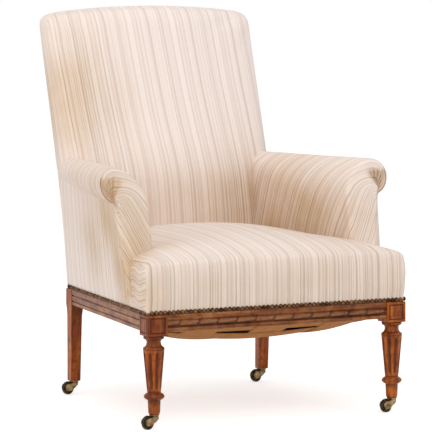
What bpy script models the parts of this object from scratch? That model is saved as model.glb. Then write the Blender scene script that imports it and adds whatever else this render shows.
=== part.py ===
"""Library armchair: walnut show frame on brass casters, with sprung and nailed upholstery.

Metres, +Z up, floor at Z = 0. The sitter faces -Y. Left and right are as seen from the front,
so left is -X. Sizes along Y are measured back from the axis of the front legs, and one empty
then carries the whole chair so that its box is centred on the origin.
"""

import math

import bmesh
import bpy
from mathutils import Matrix, Vector

# Fits
GAP = 0.0003
COVER_CLEAR = 0.0008
SIDES = {"left": -1, "right": 1}

# Casters
WHEEL_RADIUS = 0.0165
WHEEL_WIDTH = 0.011
WHEEL_TRAIL = 0.0208
WHEEL_CLEAR = 0.0006
WHEEL_HUB = 0.0055
WHEEL_RIM = 0.0020
WHEEL_DISH = 0.0012
TREAD_ROUND = 0.0012
TREAD_FLAT_SHARE = 0.55
CASTER_YAW = math.radians(200.5)
PIVOT_CLEAR = 0.0001
AXLE_RADIUS = 0.0020
AXLE_HEAD = 0.0010
CHEEK = 0.0022
CHEEK_EYE = 0.0046
PINTLE_RADIUS = 0.0026
PINTLE_HEAD = 0.0010
BOSS_RADIUS = 0.0068
BOSS_HEIGHT = 0.0095
BOSS_TAPER = 0.8
PLATE_UNDER = 0.0316
PLATE_THICK = 0.0020
CASTER_SEGMENTS = 20

# Front legs, radii of the turned part and heights above the floor
FRONT_LEG_X = 0.310
BLOCK = 0.050
BLOCK_BOTTOM = 0.2175
PANEL_MARGIN = 0.009
PANEL_DEPTH = 0.0012
FOOT_RADIUS = 0.0120
ANKLE_RADIUS = 0.0150
RING_RADIUS = 0.0235
RING_HEIGHT = 0.076
RING_THICK = 0.020
SHAFT_LOW_RADIUS = 0.0160
SHAFT_HIGH_RADIUS = 0.0250
SHAFT_TOP = 0.186
NECK_RADIUS = 0.0165
NECK_HEIGHT = 0.203
NECK_COVE = ((0.35, 0.75), (1.0, 1.0))
NECK_SWELL = ((0.55, 0.15), (0.75, 0.80), (1.0, 1.0))
COLLAR_RADIUS = 0.0238
COLLAR_THICK = 0.005
FLUTES = 8
FLUTE_RADIUS = 0.0034
FLUTE_MARGIN = 0.010
LEG_STEPS = 24

# Rear posts: leg below the rail, back upright above it
REAR_POST_X = 0.260
POST_WIDTH = 0.035
POST_DEPTH = 0.036
POST_FOOT = 0.025
POST_SHOULDER = 0.030
POST_NECK = 0.0285
POST_DEPTH_TOP = 0.026
POST_REAR_Y = 0.630
POST_FOOT_KICK = 0.010
POST_TOP = 0.900
BACK_LEAN = -0.020
BACK_SWEEP = 0.350
BACK_RETURN = 0.165
BACK_STEP = 0.045

# Seat rails
RAIL_BOTTOM = 0.227
RAIL_TOP = 0.295
RAIL_THICK = 0.026
RAIL_SETBACK = 0.001
RABBET = 0.0055
COVER_LINE = 0.2665
FRONT_RAIL_SETBACK = 0.004
RIBBON_RADIUS = 0.0065
BEAD_HEIGHT = 0.010
GROOVE = 0.0022
REAR_RAIL_SETBACK = 0.002
TENON_SETBACK = 0.020
LEDGE_FALL = 0.0008
BRACE_DROP = 0.012
BRACE_LEG = 0.075

# Back frame and back upholstery
CREST_TOP = 0.938
TACK_RAIL_BOTTOM = 0.360
TACK_RAIL_HEIGHT = 0.040
BACK_HALF_WIDTH = 0.285
BACK_SIDE_TOP = 0.948
BACK_CROWN = 0.019
BACK_CUTS_ACROSS = (0.05, 0.2, 0.5, 0.8, 0.95)
BACK_CUTS_TALL = (0.06, 0.2, 0.36, 0.52, 0.68, 0.84, 0.94)
BACK_COVER_DROP = 0.018
BACK_PAD_EDGE = 0.026
BACK_PAD_CROWN = 0.022
LUMBAR_HEIGHT = 0.555
LUMBAR_SWELL = 0.026
LUMBAR_SPREAD = 0.110
COVER = 0.005

# Arms
ARM_TOP = 0.599
ARM_UNDER = 0.5455
ARM_RAIL_HEIGHT = 0.030
ARM_FRONT_Y = 0.140
ARM_FRONT_Z = 0.513
ARM_FRONT_SLOPE = 0.26
ARM_REAR_Y = 0.630
ARM_INNER_FRONT = 0.262
ARM_INNER_REAR = 0.212
ARM_FLARE_FRONT = 0.029
ARM_FLARE_REAR = 0.013
ROLL_RADIUS = 0.040
ROLL_RADIUS_REAR = 0.036
ROLL_OVERHANG = 0.031
ROLL_OVERHANG_REAR = 0.006
ROLL_LIP = 0.003
ROLL_START = 120
ARM_KNEE = 0.470
FACING = 0.018
FACING_ROUND = 0.007
STUMP_DEPTH = 0.045
ARM_SECTIONS = 4

# Seat upholstery
SEAT_EDGE = 0.392
SEAT_CROWN = 0.040
SEAT_CROWN_AT = 0.6
SEAT_CORNER_FALL = 0.008
SEAT_CUTS_ACROSS = (0.03, 0.14, 0.35, 0.65, 0.86, 0.97)
SEAT_CUTS_DEEP = (0.04, 0.15, 0.4, 0.75)
SEAT_SHOULDER_SHARE = 0.85
SEAT_BULGE = 0.008
SEAT_NAIL_SHARE = 0.10
SEAT_BELLY_SHARE = 0.50
SEAT_TOP_DRAW = 0.9
WELL_TOP = 0.345
WELL_WALL = 0.035
WELL_FRONT = 0.060
WELL_REAR = 0.530
HESSIAN = 0.0015
SPRING_FIRST_ROW = 0.130
SPRING_ROW_PITCH = 0.160
SPRING_COLUMN_PITCH = 0.150
SPRING_RADIUS = 0.036
SPRING_WAIST = 0.024
SPRING_WIRE = 0.0019
SPRING_TURNS = 4
SPRING_POINTS = 8
LONG_STRAPS = 3
CROSS_STRAPS = 5
LONG_STRAP_PITCH = 0.180
CROSS_STRAP_PITCH = 0.108
STRAP_WIDTH = 0.090
WEB_THICK = 0.002
WEB_TACK = 0.014
WEB_SAG = 0.060

# Nails
NAIL_PITCH = 0.0108
NAIL_DIAMETER = 0.0098
NAIL_PROUD = 0.0038
NAIL_LINK = 0.0030
NAIL_SEAT = 0.0006
NAIL_TAPER = 0.5

LEG_BOTTOM = PLATE_UNDER + PLATE_THICK
FRONT_FACE_Y = -BLOCK / 2 + FRONT_RAIL_SETBACK
FRONT_RABBET_Y = FRONT_FACE_Y + RABBET
FRONT_RAIL_INNER_Y = FRONT_FACE_Y + RAIL_THICK
POST_INNER_X = REAR_POST_X - POST_WIDTH / 2
POST_FRONT_Y = POST_REAR_Y - POST_DEPTH
REAR_RAIL_INNER_Y = POST_REAR_Y - REAR_RAIL_SETBACK - RAIL_THICK
BACK_TOP = BACK_SIDE_TOP + BACK_CROWN
PAD_BOTTOM = RAIL_TOP + GAP
ARM_FRAME = RAIL_THICK - RABBET
ARM_RAIL_BOTTOM = ARM_UNDER - GAP - ARM_RAIL_HEIGHT
HESSIAN_UNDER = WELL_TOP - GAP - HESSIAN


def lerp(a, b, t):
    return a + (b - a) * t


def share(value, low, high):
    return (value - low) / (high - low)


def back_sweep(z):
    """How far the back leans behind its foot, in a slow S."""
    s = share(z, COVER_LINE, BACK_TOP)
    return BACK_LEAN * s + BACK_SWEEP * s ** 2 - BACK_RETURN * s ** 3


def post_rear_y(z):
    """Rear face of the posts: the leg kicks back, the upright follows the sweep in short flats."""
    if z <= COVER_LINE:
        return POST_REAR_Y + POST_FOOT_KICK * share(z, COVER_LINE, LEG_BOTTOM)
    low = COVER_LINE + BACK_STEP * math.floor((z - COVER_LINE) / BACK_STEP)
    high = low + BACK_STEP
    return POST_REAR_Y + lerp(back_sweep(low), back_sweep(high), share(z, low, high))


def leg_taper(z, at_rail):
    """Size of the rear leg below the rail, from its shoulder down to its foot."""
    if z >= RAIL_BOTTOM:
        return at_rail
    shoulder = RAIL_BOTTOM - POST_SHOULDER
    if z >= shoulder:
        return lerp(POST_NECK, at_rail, share(z, shoulder, RAIL_BOTTOM) ** 2)
    return lerp(POST_FOOT, POST_NECK, share(z, LEG_BOTTOM, shoulder))


def post_depth(z):
    if z <= COVER_LINE:
        return leg_taper(z, POST_DEPTH)
    return lerp(POST_DEPTH, POST_DEPTH_TOP, share(z, COVER_LINE, BACK_TOP))


def post_front_y(z):
    return post_rear_y(z) - post_depth(z)


def rail_x(y):
    """Outer face of the side rail, which runs in towards the back."""
    front = FRONT_LEG_X + BLOCK / 2 - RAIL_SETBACK
    rear = REAR_POST_X + POST_WIDTH / 2 - RAIL_SETBACK
    return lerp(front, rear, share(y, BLOCK / 2, POST_FRONT_Y))


def along_arm(y, front, rear):
    return lerp(front, rear, share(y, ARM_FRONT_Y, ARM_REAR_Y))


def cover_x(y, z):
    """Outer face of the outside arm, flush with the rail below and flared under the roll."""
    flare = along_arm(y, ARM_FLARE_FRONT, ARM_FLARE_REAR)
    return rail_x(y) + flare * share(z, COVER_LINE, ARM_UNDER)


def arm_frame_x(y, z):
    """Inner face of the arm's wooden frame, which lies against the outside cover."""
    return cover_x(y, z) - COVER - COVER_CLEAR - ARM_FRAME


def arm_face_y(z):
    """Front of the arm, which slopes forward towards the seat."""
    return ARM_FRONT_Y + ARM_FRONT_SLOPE * (z - ARM_FRONT_Z)


def arm_body_y(z):
    return arm_face_y(z) + FACING + GAP


POST_SIDE_X = rail_x(post_rear_y(COVER_LINE)) - COVER - 2 * GAP


def seat_half_width(y):
    return rail_x(y) - GAP


def back_levels(low, high):
    """Heights at which everything on the curved back is cut, so that neighbours match."""
    count = math.ceil((high - COVER_LINE) / BACK_STEP)
    steps = [COVER_LINE + BACK_STEP * i for i in range(count)]
    return [low] + [z for z in steps if low + GAP < z < high - GAP] + [high]


def web_height(x, y):
    """Upper side of the webbing: tacked flat under the rails and sagging between them."""
    across = min(1.0, abs(x) / (rail_x(y) - RAIL_THICK))
    middle = (FRONT_RAIL_INNER_Y + REAR_RAIL_INNER_Y) / 2
    along = min(1.0, abs(y - middle) / (REAR_RAIL_INNER_Y - middle))
    return RAIL_BOTTOM - GAP - WEB_SAG * (1 - across ** 3) * (1 - along ** 3)


# Scene helpers

def clear_scene():
    for item in list(bpy.data.objects):
        bpy.data.objects.remove(item, do_unlink=True)


def new_collection(name):
    collection = bpy.data.collections.new(name)
    bpy.context.scene.collection.children.link(collection)
    return collection


clear_scene()
PARTS = new_collection("library_armchair")
CUTTERS = new_collection("cutters")


def new_empty(name, location, parent=None):
    empty = bpy.data.objects.new(name, None)
    empty.location = location
    empty.parent = parent
    PARTS.objects.link(empty)
    return empty


CHAIR = new_empty("chair_frame_origin", (0, 0, 0))


def make_material(name, colour, roughness, metallic=0.0):
    material = bpy.data.materials.new(name)
    material.use_nodes = True
    shader = material.node_tree.nodes["Principled BSDF"]
    shader.inputs["Base Color"].default_value = (*colour, 1.0)
    shader.inputs["Roughness"].default_value = roughness
    shader.inputs["Metallic"].default_value = metallic
    material.diffuse_color = (*colour, 1.0)
    return material


WALNUT = make_material("walnut", (0.24, 0.09, 0.035), 0.42)
BEECH = make_material("beech", (0.50, 0.33, 0.18), 0.65)
BRASS = make_material("brass", (0.36, 0.24, 0.10), 0.38, 1.0)
FABRIC = make_material("striped_fabric", (0.70, 0.54, 0.42), 0.85)
HESSIAN_CLOTH = make_material("hessian", (0.42, 0.31, 0.18), 0.9)
WEBBING = make_material("jute_webbing", (0.33, 0.22, 0.11), 0.9)
STEEL = make_material("spring_steel", (0.30, 0.27, 0.24), 0.45, 1.0)


def add_part(name, mesh, material, parent=CHAIR):
    mesh.name = name
    mesh.materials.clear()
    mesh.materials.append(material)
    part = bpy.data.objects.new(name, mesh)
    part.parent = parent
    PARTS.objects.link(part)
    return part


def add_cutter(name, mesh):
    cutter = bpy.data.objects.new(name, mesh)
    cutter.parent = CHAIR
    cutter.hide_render = True
    cutter.display_type = "WIRE"
    CUTTERS.objects.link(cutter)
    return cutter


def boolean(part, other, operation="DIFFERENCE", skewed=False):
    """Cut or join with the exact solver; skewed is for a part whose sections twist along it."""
    modifier = part.modifiers.new(operation.lower(), "BOOLEAN")
    modifier.operation = operation
    modifier.object = other
    modifier.solver = "EXACT"
    modifier.use_self = skewed


def subdivide(part, levels=1):
    modifier = part.modifiers.new("soften", "SUBSURF")
    modifier.levels = levels
    modifier.render_levels = levels


def smooth(part, angle=40):
    part.data.shade_smooth()
    part.data.set_sharp_from_angle(angle=math.radians(angle))


def finished_mesh(part):
    """The mesh of an object with its modifiers, welded; the object itself is removed."""
    bpy.context.view_layer.update()
    evaluated = part.evaluated_get(bpy.context.evaluated_depsgraph_get())
    mesh = bpy.data.meshes.new_from_object(evaluated)
    weld(mesh)
    bpy.data.objects.remove(part, do_unlink=True)
    return mesh


def weld(mesh):
    body = bmesh.new()
    body.from_mesh(mesh)
    bmesh.ops.remove_doubles(body, verts=body.verts, dist=0.00001)
    bmesh.ops.recalc_face_normals(body, faces=body.faces)
    body.to_mesh(mesh)
    body.free()


def shaped_block(place, across=(), deep=(), tall=(), crease_foot=False):
    """A cube cut at the given shares of its width, depth and height, its points moved by place."""
    body = bmesh.new()
    bmesh.ops.create_cube(body, size=1.0, matrix=Matrix.Translation((0.5, 0.5, 0.5)))
    for axis, cuts in enumerate((across, deep, tall)):
        normal = Vector((axis == 0, axis == 1, axis == 2))
        for cut in cuts:
            geometry = body.verts[:] + body.edges[:] + body.faces[:]
            bmesh.ops.bisect_plane(body, geom=geometry, plane_co=normal * cut, plane_no=normal)
    if crease_foot:
        crease = body.edges.layers.float.new("crease_edge")
        for edge in body.edges:
            on_foot = all(vert.co.z < 0.001 for vert in edge.verts)
            edge[crease] = 1.0 if on_foot else 0.0
    for vert in body.verts:
        vert.co = place(*vert.co)
    body.normal_update()
    bmesh.ops.recalc_face_normals(body, faces=body.faces)
    mesh = bpy.data.meshes.new("block")
    body.to_mesh(mesh)
    body.free()
    return mesh


def box(low, high):
    def place(u, v, w):
        return Vector((lerp(low[0], high[0], u), lerp(low[1], high[1], v), lerp(low[2], high[2], w)))
    return shaped_block(place)


def shares(levels):
    return [share(level, levels[0], levels[-1]) for level in levels[1:-1]]


def prism(outline, place):
    """A flat outline given thickness; place maps its two coordinates and a share through it."""
    curve = bpy.data.curves.new("outline", "CURVE")
    curve.dimensions = "2D"
    curve.fill_mode = "BOTH"
    curve.extrude = 0.5
    spline = curve.splines.new("POLY")
    spline.points.add(len(outline) - 1)
    for point, (a, b) in zip(spline.points, outline):
        point.co = (a, b, 0, 1)
    spline.use_cyclic_u = True
    flat = bpy.data.objects.new("outline", curve)
    CUTTERS.objects.link(flat)
    mesh = finished_mesh(flat)
    bpy.data.curves.remove(curve)
    for vert in mesh.vertices:
        vert.co = place(vert.co.x, vert.co.y, vert.co.z + 0.5)
    weld(mesh)
    return mesh


def loft(rings):
    """A closed skin over outlines of equal length, capped at both ends."""
    body = bmesh.new()
    loops = [[body.verts.new(point) for point in ring] for ring in rings]
    for low, high in zip(loops, loops[1:]):
        for i in range(len(low)):
            j = (i + 1) % len(low)
            body.faces.new((low[i], low[j], high[j], high[i]))
    body.faces.new(loops[0])
    body.faces.new(loops[-1])
    body.normal_update()
    bmesh.ops.recalc_face_normals(body, faces=body.faces)
    mesh = bpy.data.meshes.new("loft")
    body.to_mesh(mesh)
    body.free()
    return mesh


def turned(name, profile, steps):
    """A profile of radius and height, from top to bottom, spun about the Z axis."""
    mesh = bpy.data.meshes.new(name)
    points = [(radius, 0, height) for radius, height in profile]
    mesh.from_pydata(points, [(i, i + 1) for i in range(len(points) - 1)], [])
    part = bpy.data.objects.new(name, mesh)
    spin = part.modifiers.new("spin", "SCREW")
    spin.steps = steps
    spin.render_steps = steps
    spin.use_merge_vertices = True
    spin.merge_threshold = 0.0001
    return part


def turned_mesh(profile, steps):
    part = turned("turning", profile, steps)
    CUTTERS.objects.link(part)
    return finished_mesh(part)


def rod_mesh(radius, low, high, segments):
    body = bmesh.new()
    middle = Matrix.Translation((0, 0, (low + high) / 2))
    bmesh.ops.create_cone(body, cap_ends=True, segments=segments, radius1=radius, radius2=radius,
                          depth=high - low, matrix=middle)
    mesh = bpy.data.meshes.new("rod")
    body.to_mesh(mesh)
    body.free()
    return mesh


def arc(centre, radius, start, end, count):
    """Points on a round stretch, angles in degrees."""
    points = []
    for i in range(count):
        angle = math.radians(lerp(start, end, i / (count - 1)))
        points.append((centre[0] + radius * math.cos(angle), centre[1] + radius * math.sin(angle)))
    return points


# Casters: each is made once about its swivel axis, trailing towards +X, then placed four times

CHEEK_INNER = WHEEL_WIDTH / 2 + GAP
CHEEK_OUTER = CHEEK_INNER + CHEEK
BOSS_TOP = PLATE_UNDER - GAP
BOSS_BOTTOM = BOSS_TOP - BOSS_HEIGHT


def caster_plate_mesh(plate_radius):
    """Round plate under the leg with the pintle that the horn turns on, riveted over below."""
    head = PINTLE_RADIUS + PINTLE_HEAD
    profile = [
        (0, LEG_BOTTOM - GAP), (plate_radius, LEG_BOTTOM - GAP),
        (plate_radius, PLATE_UNDER), (PINTLE_RADIUS, PLATE_UNDER),
        (PINTLE_RADIUS, BOSS_BOTTOM - GAP), (head, BOSS_BOTTOM - GAP),
        (head, BOSS_BOTTOM - GAP - PINTLE_HEAD), (0, BOSS_BOTTOM - GAP - PINTLE_HEAD),
    ]
    return turned_mesh(profile, CASTER_SEGMENTS)


def caster_horn_mesh():
    """Forked horn: a yoke bored for the pintle, with a cheek each side of the wheel."""
    side_view = [(-BOSS_RADIUS, BOSS_BOTTOM), (-BOSS_RADIUS, BOSS_TOP), (BOSS_RADIUS, BOSS_TOP)]
    side_view += arc((WHEEL_TRAIL, WHEEL_RADIUS), CHEEK_EYE, 70, -110, 7)
    side_view += [(BOSS_RADIUS * BOSS_TAPER, BOSS_BOTTOM)]

    def upright(a, b, t):
        return Vector((a, lerp(-CHEEK_OUTER, CHEEK_OUTER, t), b))

    horn = bpy.data.objects.new("horn", prism(side_view, upright))
    CUTTERS.objects.link(horn)
    slot_mesh = rod_mesh(WHEEL_RADIUS + WHEEL_CLEAR, -CHEEK_INNER, CHEEK_INNER, 2 * CASTER_SEGMENTS)
    slot_mesh.transform(axle_placement())
    slot = add_cutter("wheel_slot", slot_mesh)
    bore_mesh = rod_mesh(PINTLE_RADIUS + PIVOT_CLEAR, 0, LEG_BOTTOM, CASTER_SEGMENTS)
    bore = add_cutter("pintle_bore", bore_mesh)
    eye_mesh = rod_mesh(AXLE_RADIUS + PIVOT_CLEAR, -2 * CHEEK_OUTER, 2 * CHEEK_OUTER, CASTER_SEGMENTS)
    eye_mesh.transform(axle_placement())
    eye = add_cutter("axle_eye", eye_mesh)
    for cutter in (slot, bore, eye):
        boolean(horn, cutter)
    mesh = finished_mesh(horn)
    for cutter in (slot, bore, eye):
        bpy.data.objects.remove(cutter, do_unlink=True)
    return mesh


def axle_placement():
    turn = Matrix.Rotation(math.radians(90), 4, "X")
    return Matrix.Translation((WHEEL_TRAIL, 0, WHEEL_RADIUS)) @ turn


def caster_axle_mesh():
    """Pin through both cheeks, headed at each end."""
    head = AXLE_RADIUS + AXLE_HEAD
    inner = CHEEK_OUTER + GAP
    outer = inner + AXLE_HEAD
    profile = [
        (0, outer), (head, outer), (head, inner), (AXLE_RADIUS, inner),
        (AXLE_RADIUS, -inner), (head, -inner), (head, -outer), (0, -outer),
    ]
    mesh = turned_mesh(profile, CASTER_SEGMENTS)
    mesh.transform(axle_placement())
    return mesh


def caster_wheel_mesh():
    """Solid wheel with a rounded tread and a bore, about its own centre with its axle on Y."""
    half = WHEEL_WIDTH / 2
    floor = half - WHEEL_DISH
    tread = half * TREAD_FLAT_SHARE
    edge = WHEEL_RADIUS - TREAD_ROUND
    rim = edge - WHEEL_RIM
    bore = AXLE_RADIUS + PIVOT_CLEAR
    profile = [
        (bore, half), (WHEEL_HUB, half), (WHEEL_HUB + WHEEL_DISH, floor), (rim - WHEEL_DISH, floor),
        (rim, half), (edge, half), (WHEEL_RADIUS, tread), (WHEEL_RADIUS, -tread), (edge, -half),
        (rim, -half), (rim - WHEEL_DISH, -floor), (WHEEL_HUB + WHEEL_DISH, -floor),
        (WHEEL_HUB, -half), (bore, -half), (bore, half),
    ]
    mesh = turned_mesh(profile, CASTER_SEGMENTS)
    half_step = math.pi / CASTER_SEGMENTS
    mesh.transform(Matrix.Rotation(math.radians(90), 4, "X") @ Matrix.Rotation(half_step, 4, "Z"))
    return mesh


def caster_sites():
    rear_y = post_rear_y(LEG_BOTTOM) - POST_FOOT / 2
    for side, sign in SIDES.items():
        yield f"front_{side}", sign * FRONT_LEG_X, 0.0, FOOT_RADIUS
        yield f"rear_{side}", sign * REAR_POST_X, rear_y, POST_FOOT / 2


def add_casters():
    horn_mesh = caster_horn_mesh()
    axle_mesh = caster_axle_mesh()
    wheel_mesh = caster_wheel_mesh()
    for corner, x, y, plate_radius in caster_sites():
        plate = add_part(f"{corner}_caster_plate", caster_plate_mesh(plate_radius), BRASS)
        plate.location = (x, y, 0)
        swivel = new_empty(f"{corner}_swivel_axis", (x, y, 0), CHAIR)
        swivel.rotation_euler.z = CASTER_YAW
        horn = add_part(f"{corner}_caster_horn", horn_mesh, BRASS, swivel)
        axle = add_part(f"{corner}_caster_axle", axle_mesh, BRASS, swivel)
        wheel = add_part(f"{corner}_caster_wheel", wheel_mesh, BRASS, swivel)
        wheel.location = (WHEEL_TRAIL, 0, WHEEL_RADIUS)
        for piece in (plate, horn, axle, wheel):
            smooth(piece)


# Wooden frame

def front_leg_profile():
    """Radius and height of the turned leg, from inside the block down to the foot."""
    ring_top = RING_HEIGHT + RING_THICK / 2
    ring_low = RING_HEIGHT - RING_THICK / 2
    collar_low = BLOCK_BOTTOM - COLLAR_THICK
    profile = [(0, BLOCK_BOTTOM + COLLAR_THICK), (COLLAR_RADIUS, BLOCK_BOTTOM + COLLAR_THICK)]
    profile += [(COLLAR_RADIUS, collar_low)]
    for down, inward in NECK_COVE:
        profile.append((lerp(COLLAR_RADIUS, NECK_RADIUS, inward), lerp(collar_low, NECK_HEIGHT, down)))
    for down, outward in NECK_SWELL:
        profile.append((lerp(NECK_RADIUS, SHAFT_HIGH_RADIUS, outward), lerp(NECK_HEIGHT, SHAFT_TOP, down)))
    profile += [(SHAFT_LOW_RADIUS, ring_top)]
    bulge = RING_RADIUS - SHAFT_LOW_RADIUS
    for angle in (60, 25, -25, -60):
        turn = math.radians(angle)
        profile.append((SHAFT_LOW_RADIUS + bulge * math.cos(turn),
                        RING_HEIGHT + RING_THICK / 2 * math.sin(turn)))
    profile += [(ANKLE_RADIUS, ring_low), (FOOT_RADIUS, LEG_BOTTOM), (0, LEG_BOTTOM)]
    return profile


def shaft_radius(z):
    low = RING_HEIGHT + RING_THICK / 2
    return lerp(SHAFT_LOW_RADIUS, SHAFT_HIGH_RADIUS, share(z, low, SHAFT_TOP))


def flute_mesh(x):
    """Grooves sunk into the tapered shaft, one on each face and one on each corner."""
    low = RING_HEIGHT + RING_THICK / 2 + FLUTE_MARGIN
    high = SHAFT_TOP - FLUTE_MARGIN
    body = bmesh.new()
    for i in range(FLUTES):
        turn = Matrix.Rotation(2 * math.pi * i / FLUTES, 4, "Z")
        foot = Vector((shaft_radius(low), 0, low))
        top = Vector((shaft_radius(high), 0, high))
        lean = Vector((0, 0, 1)).rotation_difference(top - foot).to_matrix().to_4x4()
        middle = Matrix.Translation((foot + top) / 2)
        bmesh.ops.create_cone(body, cap_ends=True, segments=8, radius1=FLUTE_RADIUS,
                              radius2=FLUTE_RADIUS, depth=(top - foot).length,
                              matrix=Matrix.Translation((x, 0, 0)) @ turn @ middle @ lean)
    mesh = bpy.data.meshes.new("flutes")
    body.to_mesh(mesh)
    body.free()
    return mesh


def front_block_mesh(sign):
    """Square block at the head of the leg, set in above the cover line for the upholstery."""
    half = BLOCK / 2
    step = share(COVER_LINE, BLOCK_BOTTOM, RAIL_TOP)
    edge = share(COVER_LINE - LEDGE_FALL, BLOCK_BOTTOM, RAIL_TOP)

    def place(u, v, w):
        inset = TENON_SETBACK if w > (edge + step) / 2 else 0.0
        x = lerp(-half, half - inset, u)
        y = lerp(-half + inset, half, v)
        return Vector((sign * (FRONT_LEG_X + x), y, lerp(BLOCK_BOTTOM, RAIL_TOP, w)))

    return shaped_block(place, tall=(edge, step))


def block_panels_mesh(sign):
    """Shallow square panels sunk into the block's two outer faces."""
    half = BLOCK / 2
    reach = half - PANEL_MARGIN
    low = BLOCK_BOTTOM + PANEL_MARGIN
    high = COVER_LINE - PANEL_MARGIN
    x = sign * FRONT_LEG_X
    body = bmesh.new()
    body.from_mesh(box((x - reach, -half - PANEL_DEPTH, low), (x + reach, -half + PANEL_DEPTH, high)))
    side = x + sign * half
    body.from_mesh(box((side - PANEL_DEPTH, -reach, low), (side + PANEL_DEPTH, reach, high)))
    mesh = bpy.data.meshes.new("panels")
    body.to_mesh(mesh)
    body.free()
    return mesh


def add_front_legs():
    for side, sign in SIDES.items():
        leg = add_part(f"front_{side}_leg", turned_mesh(front_leg_profile(), LEG_STEPS), WALNUT)
        leg.data.transform(Matrix.Translation((sign * FRONT_LEG_X, 0, 0)))
        block = add_cutter(f"front_{side}_block", front_block_mesh(sign))
        boolean(leg, block, "UNION")
        boolean(leg, add_cutter(f"front_{side}_flutes", flute_mesh(sign * FRONT_LEG_X)))
        boolean(leg, add_cutter(f"front_{side}_panels", block_panels_mesh(sign)))
        smooth(leg, 30)


def add_rear_posts():
    shoulder = RAIL_BOTTOM - POST_SHOULDER
    leg = [LEG_BOTTOM, shoulder, lerp(shoulder, RAIL_BOTTOM, 0.6), RAIL_BOTTOM, COVER_LINE]
    upright = back_levels(COVER_LINE + GAP, POST_TOP)
    levels = leg + upright
    for side, sign in SIDES.items():
        def place(u, v, w, sign=sign):
            z = lerp(LEG_BOTTOM, POST_TOP, w)
            if z > COVER_LINE + GAP / 2:
                x = lerp(POST_INNER_X, POST_SIDE_X, u)
            else:
                width = leg_taper(z, POST_WIDTH)
                x = REAR_POST_X + width * (u - 0.5)
            return Vector((sign * x, lerp(post_front_y(z), post_rear_y(z), v), z))

        add_part(f"rear_{side}_post", shaped_block(place, tall=shares(levels)), WALNUT)


def front_rail_outline():
    """Depth and height of the front rail: rabbet for the cover, ribbon band, bead below."""
    band = COVER_LINE - RIBBON_RADIUS * 2.2
    ribbon = band - RIBBON_RADIUS
    outline = [(FRONT_RAIL_INNER_Y, RAIL_BOTTOM), (FRONT_RAIL_INNER_Y, RAIL_TOP)]
    outline += [(FRONT_RABBET_Y, RAIL_TOP), (FRONT_RABBET_Y, COVER_LINE), (FRONT_FACE_Y, COVER_LINE)]
    outline += [(FRONT_FACE_Y, band + GROOVE), (FRONT_FACE_Y + GROOVE, band)]
    outline += arc((FRONT_FACE_Y + GROOVE, ribbon), RIBBON_RADIUS, 115, 245, 5)
    outline += [(FRONT_FACE_Y + GROOVE, RAIL_BOTTOM + BEAD_HEIGHT)]
    outline += [(FRONT_FACE_Y, RAIL_BOTTOM + BEAD_HEIGHT - GROOVE), (FRONT_FACE_Y, RAIL_BOTTOM + GROOVE)]
    outline += [(FRONT_FACE_Y + GROOVE, RAIL_BOTTOM)]
    return outline


def side_rail_outline():
    """Inset from the outer face, and height: rabbet, two reeds between grooves, bead below."""
    reed = (COVER_LINE - RAIL_BOTTOM - BEAD_HEIGHT) / 2
    outline = [(RAIL_THICK, RAIL_BOTTOM), (RAIL_THICK, RAIL_TOP), (RABBET, RAIL_TOP)]
    outline += [(RABBET, COVER_LINE), (0, COVER_LINE)]
    for i in (1, 2):
        z = COVER_LINE - reed * i
        outline += [(0, z + GROOVE), (GROOVE, z), (0, z - GROOVE)]
    outline += [(0, RAIL_BOTTOM + GROOVE), (GROOVE, RAIL_BOTTOM)]
    return outline


def add_seat_rails():
    front_reach = FRONT_LEG_X - BLOCK / 2 - GAP

    def across(y, z, t):
        return Vector((lerp(-front_reach, front_reach, t), y, z))

    add_part("front_seat_rail", prism(front_rail_outline(), across), WALNUT)
    low_y = BLOCK / 2 + GAP
    high_y = POST_FRONT_Y - GAP
    for side, sign in SIDES.items():
        def along(inset, z, t, sign=sign):
            y = lerp(low_y, high_y, t)
            return Vector((sign * (rail_x(y) - inset), y, z))

        add_part(f"{side}_seat_rail", prism(side_rail_outline(), along), WALNUT)
    rear_reach = POST_INNER_X - GAP
    rear_face = REAR_RAIL_INNER_Y + RAIL_THICK
    add_part("rear_seat_rail", box((-rear_reach, REAR_RAIL_INNER_Y, RAIL_BOTTOM),
                                   (rear_reach, rear_face, RAIL_TOP)), BEECH)


def add_corner_braces():
    """Blocks glued into the corners of the seat frame, notched round the leg or post."""
    low = RAIL_BOTTOM + BRACE_DROP
    high = RAIL_TOP - BRACE_DROP
    corners = {
        "front": (FRONT_RAIL_INNER_Y + GAP, BLOCK / 2 + GAP, FRONT_LEG_X - BLOCK / 2 - GAP, 1),
        "rear": (REAR_RAIL_INNER_Y - GAP, POST_FRONT_Y - GAP, POST_INNER_X - GAP, -1),
    }
    for end, (rail_y, notch_y, notch_x, inward) in corners.items():
        far_y = notch_y + inward * BRACE_LEG
        outline = [(notch_x - BRACE_LEG, rail_y), (notch_x, rail_y), (notch_x, notch_y)]
        outline += [(rail_x(y) - RAIL_THICK - GAP, y) for y in (notch_y, far_y)]
        for side, sign in SIDES.items():
            def place(x, y, t, sign=sign):
                return Vector((sign * x, y, lerp(low, high, t)))

            add_part(f"{end}_{side}_corner_block", prism(outline, place), BEECH)


def back_bar(low, high, reach):
    """A cross rail of the back that follows the posts' curve."""
    levels = back_levels(low, high)

    def place(u, v, w):
        z = lerp(low, high, w)
        return Vector((lerp(-reach, reach, u), lerp(post_front_y(z), post_rear_y(z), v), z))

    return shaped_block(place, tall=shares(levels))


def add_back_rails():
    add_part("crest_rail", back_bar(POST_TOP + GAP, CREST_TOP, POST_SIDE_X), BEECH)
    top = TACK_RAIL_BOTTOM + TACK_RAIL_HEIGHT
    add_part("back_tacking_rail", back_bar(TACK_RAIL_BOTTOM, top, POST_INNER_X - GAP), BEECH)


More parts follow.
